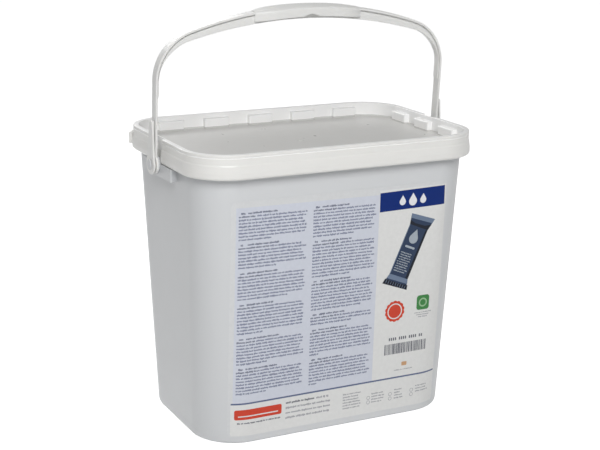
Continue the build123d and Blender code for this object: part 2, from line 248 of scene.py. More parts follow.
class Nodes:
    """A tree of shader nodes, with one method that adds any node."""

    def __init__(self, tree):
        self.tree = tree

    def feed(self, socket, value):
        """Links a signal to a socket, or writes a plain value on it."""
        if isinstance(value, Signal):
            self.tree.links.new(value.socket, socket)
        else:
            socket.default_value = value

    def node(self, kind, settings=None, inputs=None, output=0):
        """Adds a node: its settings first, then the values or links of its sockets."""
        node = self.tree.nodes.new(kind)
        for name, value in (settings or {}).items():
            setattr(node, name, value)
        for name, value in (inputs or {}).items():
            self.feed(node.inputs[name], value)
        return Signal(self, node.outputs[output])

    def seen_directly(self):
        """1 for camera, glossy and transmission rays, and 0 for the rays that light the object."""
        camera, glossy, through = (self.node("ShaderNodeLightPath", output=f"Is {ray} Ray")
                                   for ray in ("Camera", "Glossy", "Transmission"))
        seen = self.node("ShaderNodeMath", {"operation": "MAXIMUM"}, {0: camera, 1: glossy})
        return self.node("ShaderNodeMath", {"operation": "MAXIMUM"}, {0: seen, 1: through})


class Finish(Nodes):
    """A material with a Principled shader."""

    def __init__(self, name, **constants):
        self.material = bpy.data.materials.new(name)
        self.material.use_nodes = True
        super().__init__(self.material.node_tree)
        self.shader = self.tree.nodes["Principled BSDF"]
        self.shade(**constants)

    def shade(self, **values):
        """Feeds the shader's sockets, named with underscores for spaces."""
        for socket, value in values.items():
            self.feed(self.shader.inputs[socket.replace("_", " ")], value)

    def place(self):
        """The point's place in the part's frame."""
        return self.node("ShaderNodeTexCoord", output="Object")

    def vector(self, operation, first, second=(0, 0, 0), output="Vector"):
        return self.node("ShaderNodeVectorMath", {"operation": operation}, {0: first, 1: second}, output)

    def from_core(self, half_x, half_y):
        """Distance in plan from a rectangle about the middle: rounded outlines lie at their radius."""
        flat = self.vector("MULTIPLY", self.place(), (1, 1, 0))
        past = self.vector("SUBTRACT", self.vector("ABSOLUTE", flat), (half_x, half_y, 0))
        return self.vector("LENGTH", self.vector("MAXIMUM", past), output="Value")

    def noise(self, scale, detail=3.0):
        """Even noise of a given number of cells for each metre."""
        return self.node("ShaderNodeTexNoise", {}, {"Vector": self.place(), "Scale": scale,
                                                    "Detail": detail, "Roughness": 0.55})

    def mix(self, factor, first, second):
        """A colour between two colours."""
        return self.node("ShaderNodeMix", {"data_type": "RGBA"}, {0: factor, 6: first, 7: second},
                         output=2)

    def shades(self, base, factor, spread):
        """The base colour made a little darker or lighter as the factor goes from 0 to 1."""
        dark = [channel * (1 - spread) for channel in base] + [1.0]
        light = [min(1.0, channel * (1 + spread)) for channel in base] + [1.0]
        return self.mix(factor, dark, light)

    def relief(self, height, strength, distance):
        """Feeds the shader's normal with a relief."""
        self.shade(Normal=self.node("ShaderNodeBump", {}, {"Height": height, "Strength": strength,
                                                           "Distance": distance}, output="Normal"))


BLACK = (0, 0, 0, 1)
WHITE = (1, 1, 1, 1)
PLASTIC_IOR = 1.49
GLOW_REACH = 1.5 * MM
GLOW_TINT = (1.0, 0.97, 0.9)
FLOW_SCALE = 9.0
SCUFF_SCALE = 55.0
PEEL_SCALE = 700.0
SCUFF_SPREAD = 0.12
FLOW_HEIGHT = 6.0
PEEL_DEPTH = 0.2 * MM
# Painted shade on the lid's panel, and painted light on its rim and upper inner walls
PAINTED_PANEL_SHADE = 0.25
PANEL_GLOSSIER = 0.04
PAINTED_RIM_LIGHT = 0.7
SHADED_BELOW_TOP = 13.2 * MM
PANEL_SHADE_INSET = 6.4 * MM
PAINTED_RIM_LIGHT_INSET = 0.3 * MM
BODY_FINISH = {"roughness": 0.42, "peel": 0.12, "spread": 0.012}
LID_FINISH = {"roughness": 0.34, "peel": 0.05, "spread": 0.01, "glow": 0.15}
HANDLE_FINISH = {"roughness": 0.36, "peel": 0.08, "spread": 0.012, "glow": 0.3}


def moulded_plastic(name, base, roughness, peel, spread, glow=0.0, lid=None):
    """Moulded plastic: faint flow shading, uneven gloss and a fine orange-peel relief.

    On the lid, painted light makes the rim and the upper inner walls lighter, and painted shade makes the
    panel over the load darker.
    """
    finish = Finish(name, IOR=PLASTIC_IOR, Subsurface_Weight=glow, Subsurface_Scale=GLOW_REACH,
                    Subsurface_Radius=GLOW_TINT)
    flow = finish.noise(FLOW_SCALE, detail=2.0)
    scuff = finish.noise(SCUFF_SCALE)
    grain = finish.noise(PEEL_SCALE, detail=2.0)
    shaded = finish.shades(base, flow, spread)
    gloss = roughness - SCUFF_SPREAD / 2 + scuff * SCUFF_SPREAD
    if lid:
        height = finish.node("ShaderNodeSeparateXYZ", {}, {0: finish.place()}, output="Z")
        low = height < lid_high.z - SHADED_BELOW_TOP
        reach = finish.from_core(lid.length / 2 - lid.corner, lid.width / 2 - lid.corner)
        panel = low * (reach < lid.corner - PANEL_SHADE_INSET)
        rim = (1 - low) * (reach < lid.corner - PAINTED_RIM_LIGHT_INSET)
        # Painted shade darkens the panel; painted light lightens the rim and the upper inner walls
        shaded = finish.mix(panel * PAINTED_PANEL_SHADE, shaded, BLACK)
        shaded = finish.mix(rim * PAINTED_RIM_LIGHT, shaded, WHITE)
        gloss = gloss - panel * PANEL_GLOSSIER
    finish.shade(Base_Color=shaded, Roughness=gloss)
    finish.relief(grain + flow * FLOW_HEIGHT, peel, PEEL_DEPTH)
    return finish.material


PRINT_SCALE = 260.0
PRINT_SPREAD = 0.06
PRINT_UNEVEN = 0.08


def printed_ink(name, base, roughness=0.42, ior=1.46):
    """Ink under a satin film: almost even, with a faint unevenness of the print."""
    finish = Finish(name, IOR=ior)
    patches = finish.noise(PRINT_SCALE)
    finish.shade(Base_Color=finish.shades(base, patches, PRINT_SPREAD),
                 Roughness=roughness - PRINT_UNEVEN / 2 + patches * PRINT_UNEVEN)
    return finish.material


CREASE_SCALE = 120.0
CREASE_DEPTH = 0.6 * MM
CREASE_STRENGTH = 0.5
CREASE_PAINTED_SHADING = 0.25
CREASE_ROUGHNESS = 0.16
WRAP_ROUGHNESS = 0.22


def glossy_wrap(name, base):
    """Glossy printed wrap that shows fine creases, with painted shade in their hollows and painted light on
    their ridges.
    """
    finish = Finish(name, IOR=1.5)
    crease = finish.noise(CREASE_SCALE, detail=4.0)
    # The colour follows the crease relief: painted shade in the hollows, painted light on the ridges
    finish.shade(Base_Color=finish.shades(base, crease, CREASE_PAINTED_SHADING),
                 Roughness=WRAP_ROUGHNESS + crease * CREASE_ROUGHNESS)
    finish.relief(crease, CREASE_STRENGTH, CREASE_DEPTH)
    return finish.material


# Forms: every one is a closed bmesh in the part's frame

CORNER_STEPS = 20
FILLET_STEPS = 4
TURN_STEPS = 48
SMOOTH_ANGLE = math.radians(32)
OVERRUN = 5 * MM
MERGE_REACH = 0.005 * MM
THIN_REACH = 0.002 * MM


def rounded_ring(half_x, half_y, radius, height):
    """Points round a rounded rectangle, anticlockwise from the right side."""
    points = []
    for corner, (x, y) in enumerate(((1, 1), (-1, 1), (-1, -1), (1, -1))):
        centre = Vector((x * (half_x - radius), y * (half_y - radius), height))
        for step in range(CORNER_STEPS + 1):
            angle = (corner + step / CORNER_STEPS) * math.pi / 2
            points.append(centre + radius * Vector((math.cos(angle), math.sin(angle), 0)))
    return points


def rounded_profile(corners):
    """A profile through corners of (place, height, rounding)."""
    points = []
    for index, (place, height, rounding) in enumerate(corners):
        here = Vector((place, height))
        if rounding == 0:
            points.append(here)
            continue
        before = (Vector(corners[index - 1][:2]) - here).normalized()
        after = (Vector(corners[index + 1][:2]) - here).normalized()
        half = before.angle(after) / 2
        centre = here + (before + after).normalized() * rounding / math.sin(half)
        start = here + before * rounding / math.tan(half) - centre
        end = here + after * rounding / math.tan(half) - centre
        turn = math.atan2(start.x * end.y - start.y * end.x, start.dot(end))
        for step in range(FILLET_STEPS + 1):
            angle = turn * step / FILLET_STEPS
            points.append(centre + Vector((start.x * math.cos(angle) - start.y * math.sin(angle),
                                           start.x * math.sin(angle) + start.y * math.cos(angle))))
    return points


def skin(rings, closed=False):
    """A form whose faces join each ring to the next. Unless it closes on itself, its ends are filled."""
    form = bmesh.new()
    loops = [[form.verts.new(point) for point in ring] for ring in rings]
    following = loops[1:] + loops[:1] if closed else loops[1:]
    for loop, next_loop in zip(loops, following):
        for index in range(len(loop)):
            after = (index + 1) % len(loop)
            form.faces.new((loop[index], loop[after], next_loop[after], next_loop[index]))
    if not closed:
        form.faces.new(loops[0])
        form.faces.new(loops[-1])
    bmesh.ops.recalc_face_normals(form, faces=form.faces)
    return form


def block(low, high, rounding, segments=2):
    """A box between two corners with all its edges rounded."""
    form = bmesh.new()
    bmesh.ops.create_cube(form, size=1.0)
    low, high = Vector(low), Vector(high)
    for vertex in form.verts:
        vertex.co = (low + high) / 2 + Vector([c * (h - l) for c, l, h in zip(vertex.co, low, high)])
    if rounding:
        bmesh.ops.bevel(form, geom=form.edges[:], offset=rounding, segments=segments,
                        profile=0.5, affect="EDGES")
    return form


def sided(side, near, far, y_low, y_high, z_low, z_high, rounding=0):
    """A block on one short side, between two distances from the middle."""
    ends = sorted((side * near, side * far))
    return block((ends[0], y_low, z_low), (ends[1], y_high, z_high), rounding)


def turned(profile, side, height, hole=0.0):
    """A form turned about the handle's axis from (distance, radius) points, solid or with a hole."""
    rings = []
    points = [Vector(point) for point in profile]
    if hole:
        points += [Vector((points[-1].x, hole)), Vector((points[0].x, hole))]
    for point in points:
        rings.append([Vector((side * point.x, point.y * math.cos(step * math.tau / TURN_STEPS),
                              height + point.y * math.sin(step * math.tau / TURN_STEPS)))
                      for step in range(TURN_STEPS)])
    return skin(rings, closed=bool(hole))


def disc_profile(start, end, radius, rounding):
    """Profile of a round disc between two distances with both its edges rounded."""
    return rounded_profile([(start, radius - 2 * rounding, 0), (start, radius, rounding),
                            (end, radius, rounding), (end, radius - 2 * rounding, 0)])


# Pieces


def mesh_object(name, form):
    """An object at the origin that holds a form."""
    mesh = bpy.data.meshes.new(name)
    form.to_mesh(mesh)
    form.free()
    piece = bpy.data.objects.new(name, mesh)
    bpy.context.scene.collection.objects.link(piece)
    return piece


def carve(piece, forms, operation):
    """Joins forms to a piece, or cuts them away from it."""
    tools = bpy.data.collections.new("tools")
    bpy.context.scene.collection.children.link(tools)
    for form in forms:
        tool = mesh_object("tool", form)
        bpy.context.scene.collection.objects.unlink(tool)
        tools.objects.link(tool)
    modifier = piece.modifiers.new("carve", "BOOLEAN")
    modifier.operation = operation
    modifier.solver = "EXACT"
    modifier.operand_type = "COLLECTION"
    modifier.collection = tools
    bpy.context.view_layer.update()
    result = bpy.data.meshes.new_from_object(piece.evaluated_get(bpy.context.evaluated_depsgraph_get()))
    piece.modifiers.clear()
    spent = piece.data
    piece.data = result
    bpy.data.meshes.remove(spent)
    for tool in list(tools.objects):
        mesh = tool.data
        bpy.data.objects.remove(tool)
        bpy.data.meshes.remove(mesh)
    bpy.data.collections.remove(tools)
    return piece


def tidy_mesh(piece):
    """Merges doubled points, marks sharp edges, and shades the rest smoothly by face area."""
    form = bmesh.new()
    form.from_mesh(piece.data)
    bmesh.ops.remove_doubles(form, verts=form.verts, dist=MERGE_REACH)
    bmesh.ops.dissolve_degenerate(form, edges=form.edges, dist=THIN_REACH)
    bmesh.ops.recalc_face_normals(form, faces=form.faces)
    form.to_mesh(piece.data)
    form.free()
    piece.data.shade_smooth()
    piece.data.set_sharp_from_angle(angle=SMOOTH_ANGLE)
    weighted = piece.modifiers.new("face weighted normals", "WEIGHTED_NORMAL")
    weighted.keep_sharp = True
    weighted.weight = 100


def dress(piece, material, body, slot, *replaced):
    """Gives a piece its material and its body, and hides the CAD nodes that it stands for. The slot is not
    used.
    """
    piece.data.materials.clear()
    piece.data.materials.append(material)
    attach(piece, body)
    if replaced:
        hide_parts(*replaced)


# Pail

WALL_LEVELS = 9
FLARE_SHARE = 0.15
LIP_GAP_CLEARANCE = 1.9 * MM


def wall_outline(sizes, inset, height):
    """Ring on the pail's outer wall at a height, moved in by an inset."""
    lean = sizes.draft * height
    radius = sizes.base_corner + (sizes.mouth_corner - sizes.base_corner) * height / sizes.shoulder
    return rounded_ring(sizes.base_length / 2 + lean - inset, sizes.base_width / 2 + lean - inset,
                        radius - inset, height)


def lip_outline(sizes, inset, height):
    """Ring on the outside of the pail's lip, moved in by an inset."""
    return rounded_ring(sizes.lip_length / 2 - inset, sizes.lip_width / 2 - inset,
                        sizes.lip_corner - inset, height)


def pail_shell(sizes):
    """The shell from the foot recess up the outside, over the lip and down the inside."""
    edge = 0.5 * MM
    step = sizes.shoulder - sizes.wall
    outside = rounded_profile([
        (sizes.foot_ring + 2 * edge, sizes.foot_recess, 0), (sizes.foot_ring, sizes.foot_recess, edge),
        (sizes.foot_ring, 0, edge), (0, 0, sizes.foot_radius), (0, step - 4 * edge, 0)])
    rings = [wall_outline(sizes, point.x, point.y) for point in outside]
    wall_height = step - 4 * edge - sizes.foot_radius
    for level in range(1, WALL_LEVELS):
        rings.insert(-1, wall_outline(sizes, 0, sizes.foot_radius + wall_height * level / WALL_LEVELS))
    rings += [wall_outline(sizes, -FLARE_SHARE * edge, step - edge / 2), wall_outline(sizes, -edge, step)]
    lip = rounded_profile([
        (2 * edge, step, 0), (0, step, edge), (0, sizes.lip_top, edge), (sizes.wall, sizes.lip_top, edge),
        (sizes.wall, sizes.shoulder, edge), (sizes.wall + 2 * edge, sizes.shoulder, 0)])
    rings += [lip_outline(sizes, point.x, point.y) for point in lip]
    inside = rounded_profile([
        (sizes.wall - 2 * edge, sizes.shoulder, 0), (sizes.wall, sizes.shoulder, edge),
        (sizes.wall, sizes.floor, sizes.foot_radius), (sizes.foot_ring + edge, sizes.floor, 0)])
    rings += [wall_outline(sizes, point.x, point.y) for point in inside]
    return skin(rings)


def bracket_forms(sizes, handle, side):
    """Plates, ribs, boss and headed pin of the bracket on one short side."""
    edge = 0.3 * MM
    plate = sizes.bracket_plate
    face = sizes.bracket_face
    root = sizes.base_length / 2 + sizes.draft * sizes.bracket_low - sizes.wall / 2
    half = sizes.bracket_width / 2
    forms = [sided(side, root, face, -half, half, sizes.bracket_high - plate, sizes.bracket_high, edge),
             sided(side, face - plate, face, -half, half, sizes.bracket_low, sizes.bracket_high, edge)]
    for place in (-1.5, -0.5, 0.5, 1.5):
        middle = place * sizes.rib_pitch
        forms.append(sided(side, root, face - plate / 2, middle - plate / 2, middle + plate / 2,
                           sizes.bracket_low + edge, sizes.bracket_high - plate / 2, edge))
    boss_end = face + sizes.boss_height
    handle_end = handle.inner + handle.leg_section
    gap = handle.inner - boss_end
    forms.append(turned(disc_profile(face - plate / 2, boss_end, sizes.boss_radius, edge),
                        side, sizes.pivot_height))
    forms.append(turned([(face - plate / 2, sizes.pin_radius), (handle_end + 2 * gap, sizes.pin_radius)],
                        side, sizes.pivot_height))
    forms.append(turned(disc_profile(handle_end + gap, handle_end + gap + sizes.head_thickness,
                                     sizes.head_radius, edge), side, sizes.pivot_height))
    return forms


def build_pail(sizes, lid, handle):
    """The pail as one moulding: shell, gaps in the lip, brackets and pins."""
    pail = mesh_object("pail_moulding", pail_shell(sizes))
    gap = lid.notch / 2 + LIP_GAP_CLEARANCE
    lip = sizes.lip_length / 2
    cuts = [sided(side, lip - 2 * sizes.wall, lip + 2 * sizes.wall, -gap, gap,
                  sizes.shoulder, sizes.lip_top + OVERRUN) for side in (-1, 1)]
    carve(pail, cuts, "DIFFERENCE")
    for side in (-1, 1):
        carve(pail, bracket_forms(sizes, handle, side), "UNION")
    tidy_mesh(pail)
    return pail


# Lid

# Rounding of each corner of the lid's section, from the top of the panel to its underside, in millimetres
LID_ROUNDINGS = (0, 2.4, 0.7, 0.9, 0.25, 0.15, 0.15, 0.25, 0.6, 0.5, 3, 3, 0.3, 0.3, 0.6, 2, 1, 0.4, 0.4,
                 1.2, 0)
PANEL_REACH = 4 * MM
PANEL_SLOPE = 0.85 * MM
PLUG_INSET = 4.15 * MM
SKIRT_STEP = 11 * MM
LINE_HIGH = 2.5 * MM
LINE_LOW = 3.9 * MM
LINE_DEPTH = 0.5 * MM
LINE_SLOPE = 0.4 * MM
BAND_HEIGHT = 9.6 * MM
STEP_OUT = 0.55 * MM
BEAD_INSET = 1.7 * MM
BEAD_HEIGHT = 3.1 * MM
CLOSING_WIDTH = 1.4 * MM
CLOSING_DEPTH = 1.4 * MM
CLOSING_SUNK = 0.2 * MM
CLOSING_LIFT = 0.4 * MM
GATE_HALF = 0.6 * MM
GATE_SLOPE = 0.3 * MM
GATE_SUNK = 0.2 * MM
PAD_SUNK = 0.5 * MM
PAD_BACK = 0.8 * MM
PAD_ROUNDING = 1.7 * MM
LUG_ANGLE = math.radians(32)
LUG_OUT = 0.9 * MM
LUG_DROP = 15 * MM
LUG_HALF = Vector((2.1, 8, 5.75)) * MM
LUG_ROUNDING = 0.8 * MM
SLOT_PLACES = (-3.5 * MM, 3.5 * MM)
SLOT_HALF = Vector((0.6, 0.7, 2)) * MM


def lid_section(sizes, top):
    """Section of the lid as (place past the rim's outline, height), from panel top to panel bottom."""
    panel = top - sizes.panel_drop
    under = panel - sizes.wall
    foot = -(sizes.rim_width + PANEL_SLOPE)
    low = sizes.skirt_low
    step = top - SKIRT_STEP
    bulge_top = (step + low) / 2
    plug = -PLUG_INSET
    lip_top = top - sizes.wall
    line_high = top - LINE_HIGH
    line_low = top - LINE_LOW
    corners = ((foot - PANEL_REACH, panel), (foot, panel), (-sizes.rim_width, top), (0, top),
               (0, line_high), (-LINE_DEPTH, line_high - LINE_SLOPE),
               (-LINE_DEPTH, line_low + LINE_SLOPE), (0, line_low),
               (0, top - BAND_HEIGHT), (STEP_OUT, step), (sizes.bulge, bulge_top), (sizes.bulge, low),
               (-BEAD_INSET, low), (-BEAD_INSET, low + sizes.wall / 2),
               (sizes.bulge - sizes.wall, low + BEAD_HEIGHT), (sizes.bulge - sizes.wall, bulge_top),
               (-sizes.wall, step), (-sizes.wall, lip_top), (plug, lip_top),
               (plug - PANEL_SLOPE, under), (foot - PANEL_REACH, under))
    return rounded_profile([(*corner, rounding * MM) for corner, rounding in zip(corners, LID_ROUNDINGS)])


def lid_body(sizes, top):
    """Rim, skirt and panel: the section carried round the lid's outline."""
    rings = []
    for point in lid_section(sizes, top):
        rings.append(rounded_ring(sizes.length / 2 + point.x, sizes.width / 2 + point.x,
                                  sizes.corner + point.x, point.y))
    return skin(rings)


def pad_form(sizes, turn, wall, along, panel):
    """One raised pad with its back in the lid's wall, turned to its side of the lid."""
    half = sizes.pad_length / 2
    form = block((-sizes.pad_depth, -half, -PAD_SUNK), (PAD_BACK, half, sizes.pad_height), 0)
    front = [edge for edge in form.edges
             if sum(vertex.co.x < 0 for vertex in edge.verts) == 2
             and sum(vertex.co.z > 0 for vertex in edge.verts) > 0]
    bmesh.ops.bevel(form, geom=front, offset=PAD_ROUNDING, segments=4, profile=0.5, affect="EDGES")
    form.transform(Matrix.Rotation(turn, 4, "Z") @ Matrix.Translation((wall, along, panel)))
    return form


def pad_places(sizes):
    """(turn, distance of the wall, place along it) of every pad."""
    foot = sizes.rim_width + PANEL_SLOPE
    places = []
    for turn in (math.pi / 2, -math.pi / 2):
        for number in range(-2, 3):
            places.append((turn, sizes.width / 2 - foot, number * sizes.pad_pitch))
    for turn in (0, math.pi):
        for number in range(-1, 2):
            places.append((turn, sizes.length / 2 - foot, number * sizes.end_pad_pitch))
    return places


def tear_lug(sizes):
    """Tear-off lug on the back left corner of the skirt, with its two slots to cut."""
    out = sizes.corner + sizes.bulge + LUG_OUT
    place = Matrix.Translation((-(sizes.length / 2 - sizes.corner) - out * math.cos(LUG_ANGLE),
                                sizes.width / 2 - sizes.corner + out * math.sin(LUG_ANGLE),
                                lid_high.z - LUG_DROP)) @ Matrix.Rotation(math.pi - LUG_ANGLE, 4, "Z")
    forms = [block(-LUG_HALF, LUG_HALF, LUG_ROUNDING, segments=3)]
    for middle in SLOT_PLACES:
        forms.append(block((LUG_HALF.x - SLOT_HALF.x, middle - SLOT_HALF.y, -SLOT_HALF.z),
                           (LUG_HALF.x + OVERRUN, middle + SLOT_HALF.y, SLOT_HALF.z), 0))
    for form in forms:
        form.transform(place)
    return forms[0], forms[1:]


def build_lid(sizes, pail):
    """The lid as one moulding: rim, panel, pads, leg notches, lug and gate spot."""
    top = lid_high.z
    panel = top - sizes.panel_drop
    lid = mesh_object("lid_moulding", lid_body(sizes, top))
    half_notch = sizes.notch / 2
    closing = half_notch + CLOSING_WIDTH
    end = sizes.length / 2
    plug = end - PLUG_INSET
    walls = [sided(side, plug - CLOSING_SUNK, end - CLOSING_DEPTH, -closing, closing,
                   pail.shoulder + CLOSING_LIFT, top - sizes.wall / 2) for side in (-1, 1)]
    cuts = [sided(side, plug, end + OVERRUN, -half_notch, half_notch,
                  lid_low.z - OVERRUN, top + OVERRUN) for side in (-1, 1)]
    pads = [pad_form(sizes, *place, panel) for place in pad_places(sizes)]
    lug, slots = tear_lug(sizes)
    gate = bmesh.new()
    bmesh.ops.create_cone(gate, cap_ends=True, segments=TURN_STEPS, radius1=sizes.gate_radius,
                          radius2=sizes.gate_radius - GATE_SLOPE, depth=2 * GATE_HALF,
                          matrix=Matrix.Translation((0, 0, panel - GATE_SUNK)))
    carve(lid, walls + pads + [lug, gate], "UNION")
    hollows = []
    for turn, wall, along in pad_places(sizes):
        half = sizes.pad_length / 2 - sizes.wall
        hollow = block((sizes.wall - sizes.pad_depth, -half, -OVERRUN),
                       (0, half, sizes.pad_height - sizes.wall), 0)
        hollow.transform(Matrix.Rotation(turn, 4, "Z") @ Matrix.Translation((wall, along, panel)))
        hollows.append(hollow)
    carve(lid, cuts + slots + hollows, "DIFFERENCE")
    tidy_mesh(lid)
    return lid


# Carry handle

LEG_STEPS = 6
BOW_CORNER_STEPS = 16
CROWN_STEPS = 56
GRIP_STEPS = 48
GRIP_TAPER = 26 * MM
GRIP_NECK = 6 * MM
GRIP_END_SLOPE = -0.6
GRIP_RISE = 0.6 * MM
GRIP_WALL = 2.2 * MM
GRIP_NOTCH = ((-9, -8), (-9, 0), (0, 3), (9, 0), (9, -8))
EYE_HOLE = 4.06 * MM
FLANGE = 1.9 * MM
FLANGE_TOP_SHARE = 0.55
WEB_HALF = 1.1 * MM
TOP_ROUNDING_SHARE = 0.7
SOFT_SHARE = 0.45
EASE_SHARE = 0.3
SHALLOWEST_RIB = 0.3 * MM
RIB_HALF = 2.5 * MM
RIB_ROUNDING = 0.3 * MM
LOW_RIB_SUNK = 1.4 * MM
LOW_RIB_HALF = 4 * MM
LOW_RIB_ROUNDING = 0.9 * MM
GRIP_ROUNDING = 2.6 * MM
HOLLOW_ROUNDING = 1.2 * MM


def bow_line(leg, corner, crown, top, foot):
    """Points along a bow with upright legs, round corners and one shallow arc across the top."""
    reach = crown - corner
    shift = math.asin((leg - corner) / reach)
    elbow = Vector((leg - corner, top - crown + reach * math.cos(shift)))
    right = [Vector((leg, foot + (elbow.y - foot) * step / LEG_STEPS)) for step in range(LEG_STEPS)]
    for step in range(BOW_CORNER_STEPS):
        angle = (math.pi / 2 - shift) * step / BOW_CORNER_STEPS
        right.append(elbow + corner * Vector((math.cos(angle), math.sin(angle))))
    for step in range(CROWN_STEPS // 2):
        angle = shift * (1 - 2 * step / CROWN_STEPS)
        right.append(Vector((crown * math.sin(angle), top - crown + crown * math.cos(angle))))
    left = [Vector((-point.x, point.y)) for point in reversed(right)]
    return right + [Vector((0, top))] + left


def outer_bow(sizes, inset, foot):
    return bow_line(sizes.inner + sizes.band - inset, sizes.corner_radius - inset,
                    sizes.crown_radius - inset, foot + sizes.crown - inset, foot)


def inner_bow(sizes, foot):
    return bow_line(sizes.inner, sizes.inner_corner_radius, sizes.inner_crown_radius,
                    foot + sizes.crown - sizes.crown_depth, foot)


def band_form(sizes, foot):
    """The band: a flat strip with rounded edges bent along the bow."""
    half = sizes.band_width / 2
    rounding = 0.6 * MM
    section = rounded_profile([(0, 0, 0), (0, half, rounding), (sizes.band, half, rounding),
                               (sizes.band, -half, rounding), (0, -half, rounding), (0, 0, 0)])[:-1]
    section = [(round(point.x, 7), point.y) for point in section]
    lines = {depth: outer_bow(sizes, depth, foot) for depth, _ in section}
    return skin([[Vector((lines[depth][station].x, y, lines[depth][station].y)) for depth, y in section]
                 for station in range(len(lines[0.0]))])


def rib_form(sizes, foot, start, half, rounding):
    """A rib from a depth under the bow's outside to its inner line, where the bow is deep enough."""
    outer = outer_bow(sizes, start, foot)
    inner = inner_bow(sizes, foot)
    middle = Vector((0, foot))
    rings = []
    for outside, inside in zip(outer, inner):
        depth = (outside - inside).length
        if (outside - middle).length <= (inside - middle).length or depth < SHALLOWEST_RIB:
            continue
        inward = (inside - outside).normalized()
        soft = min(rounding, depth * SOFT_SHARE)
        ease = soft * EASE_SHARE
        half_side = [(0, half), (depth - soft, half), (depth - ease, half - ease), (depth, half - soft)]
        section = [(0, -half)] + half_side + [(reach, -width) for reach, width in half_side[:0:-1]]
        points = [(outside + inward * reach, width) for reach, width in section]
        rings.append([Vector((point.x, width, point.y)) for point, width in points])
    return skin(rings)


def grip_half_width(sizes, x, inset):
    """Half the grip's width at a distance from its middle: even, then closing in to the bow."""
    end = sizes.grip_length / 2 - inset
    shoulder = sizes.grip_length / 2 - GRIP_TAPER
    wide = sizes.grip_width / 2
    if abs(x) <= shoulder:
        return wide - inset
    run = end + inset - shoulder
    t = (abs(x) - shoulder) / run
    falling = (2 * t ** 3 - 3 * t ** 2 + 1) * wide + (3 * t ** 2 - 2 * t ** 3) * GRIP_NECK
    return falling + (t ** 3 - t ** 2) * GRIP_END_SLOPE * run - inset


def grip_form(sizes, foot, inset, low, high, rounding):
    """A form under the grip's plan between two depths of the bow, its upper edges rounded."""
    end = sizes.grip_length / 2 - inset
    rings = []
    for station in range(GRIP_STEPS + 1):
        x = end * (2 * station / GRIP_STEPS - 1)
        half = grip_half_width(sizes, x, inset)
        soft = min(rounding, half * SOFT_SHARE)
        crown = sizes.crown_radius - high
        top = foot + sizes.crown - sizes.crown_radius + math.sqrt(crown ** 2 - x ** 2)
        bottom = top - (low - high)
        section = rounded_profile([(-half, bottom, 0), (-half, top, soft),
                                   (half, top, soft), (half, bottom, 0)])
        rings.append([Vector((x, point.x, point.y)) for point in section])
    return skin(rings)


def leg_forms(sizes, foot, side):
    """Eye, web and outer flange that stiffen one leg."""
    half = sizes.band_width / 2
    inner = sizes.inner
    outer = inner + sizes.leg_section
    top = foot + sizes.leg_height
    edge = 0.4 * MM

    def plated(near, far, low_half, high_half, high):
        """A plate that narrows upwards and has a rounded top."""
        outline = rounded_profile([(0, foot, 0), (low_half, foot, 0),
                                   (high_half, high, high_half * TOP_ROUNDING_SHARE), (0, high, 0)])[1:-1]
        outline += [Vector((-point.x, point.y)) for point in reversed(outline)]
        return skin([[Vector((side * x, point.x, point.y)) for point in outline] for x in (near, far)])

    return [turned(disc_profile(inner, inner + sizes.band, sizes.eye_radius, edge), side, foot, EYE_HOLE),
            turned(disc_profile(outer - FLANGE, outer, sizes.eye_radius, edge), side, foot, EYE_HOLE),
            turned([(inner + sizes.band / 2, sizes.hub_radius), (outer - FLANGE / 2, sizes.hub_radius)],
                   side, foot, EYE_HOLE),
            plated(inner + sizes.band / 2, outer - FLANGE / 2, WEB_HALF, WEB_HALF, top - edge),
            plated(outer - FLANGE, outer, sizes.eye_radius - edge, half * FLANGE_TOP_SHARE, top)]


def build_handle(sizes, pail):
    """The carry handle as one moulding: band, ribs, legs, eyes and hollow grip."""
    foot = pail.pivot_height
    handle = mesh_object("carry_handle_moulding", band_form(sizes, foot))
    grip = mesh_object("grip", grip_form(sizes, foot, 0, sizes.grip_lip, -GRIP_RISE, GRIP_ROUNDING))
    hollow = grip_form(sizes, foot, GRIP_WALL, sizes.grip_lip + OVERRUN, GRIP_WALL - GRIP_RISE,
                       HOLLOW_ROUNDING)
    notch_foot = foot + sizes.crown - sizes.grip_lip
    notch = skin([[Vector((x * MM, y, notch_foot + z * MM)) for x, z in GRIP_NOTCH]
                  for y in (-sizes.grip_width, sizes.grip_width)])
    carve(grip, [hollow, notch], "DIFFERENCE")
    grip_shape = bmesh.new()
    grip_shape.from_mesh(grip.data)
    bpy.data.objects.remove(grip)
    forms = [rib_form(sizes, foot, sizes.band / 2, RIB_HALF, RIB_ROUNDING),
             rib_form(sizes, foot, sizes.band + LOW_RIB_SUNK, LOW_RIB_HALF, LOW_RIB_ROUNDING), grip_shape]
    for side in (-1, 1):
        forms += leg_forms(sizes, foot, side)
    carve(handle, forms, "UNION")
    ends = (sizes.inner - OVERRUN, sizes.inner + sizes.leg_section + OVERRUN)
    holes = [turned([(end, EYE_HOLE) for end in ends], side, foot) for side in (-1, 1)]
    carve(handle, holes, "DIFFERENCE")
    pivot = Matrix.Translation((0, 0, foot))
    handle.data.transform(pivot @ Matrix.Rotation(sizes.lean, 4, "X") @ pivot.inverted())
    tidy_mesh(handle)
    return handle


# Label: film and ink, placed by the distance round the wall and the height

CELL_AROUND = 2.5 * MM
CELL_UP = 12 * MM
FILM_SUNK = 0.2 * MM
INK_MERGE = 0.001 * MM
SMALLEST_AREA = (0.02 * MM) ** 2


def on_wall(pail, around, height, lift):
    """A point on the pail's front at a distance round it from its middle, lifted off the wall."""
    half_x = pail.base_length / 2 + pail.draft * height
    half_y = pail.base_width / 2 + pail.draft * height
    radius = pail.base_corner + (pail.mouth_corner - pail.base_corner) * height / pail.shoulder
    flat = half_x - radius
    if abs(around) <= flat:
        return Vector((around, -half_y - lift, height))
    angle = (abs(around) - flat) / radius
    return Vector((math.copysign(flat + (radius + lift) * math.sin(angle), around),
                   -(half_y - radius) - (radius + lift) * math.cos(angle), height))


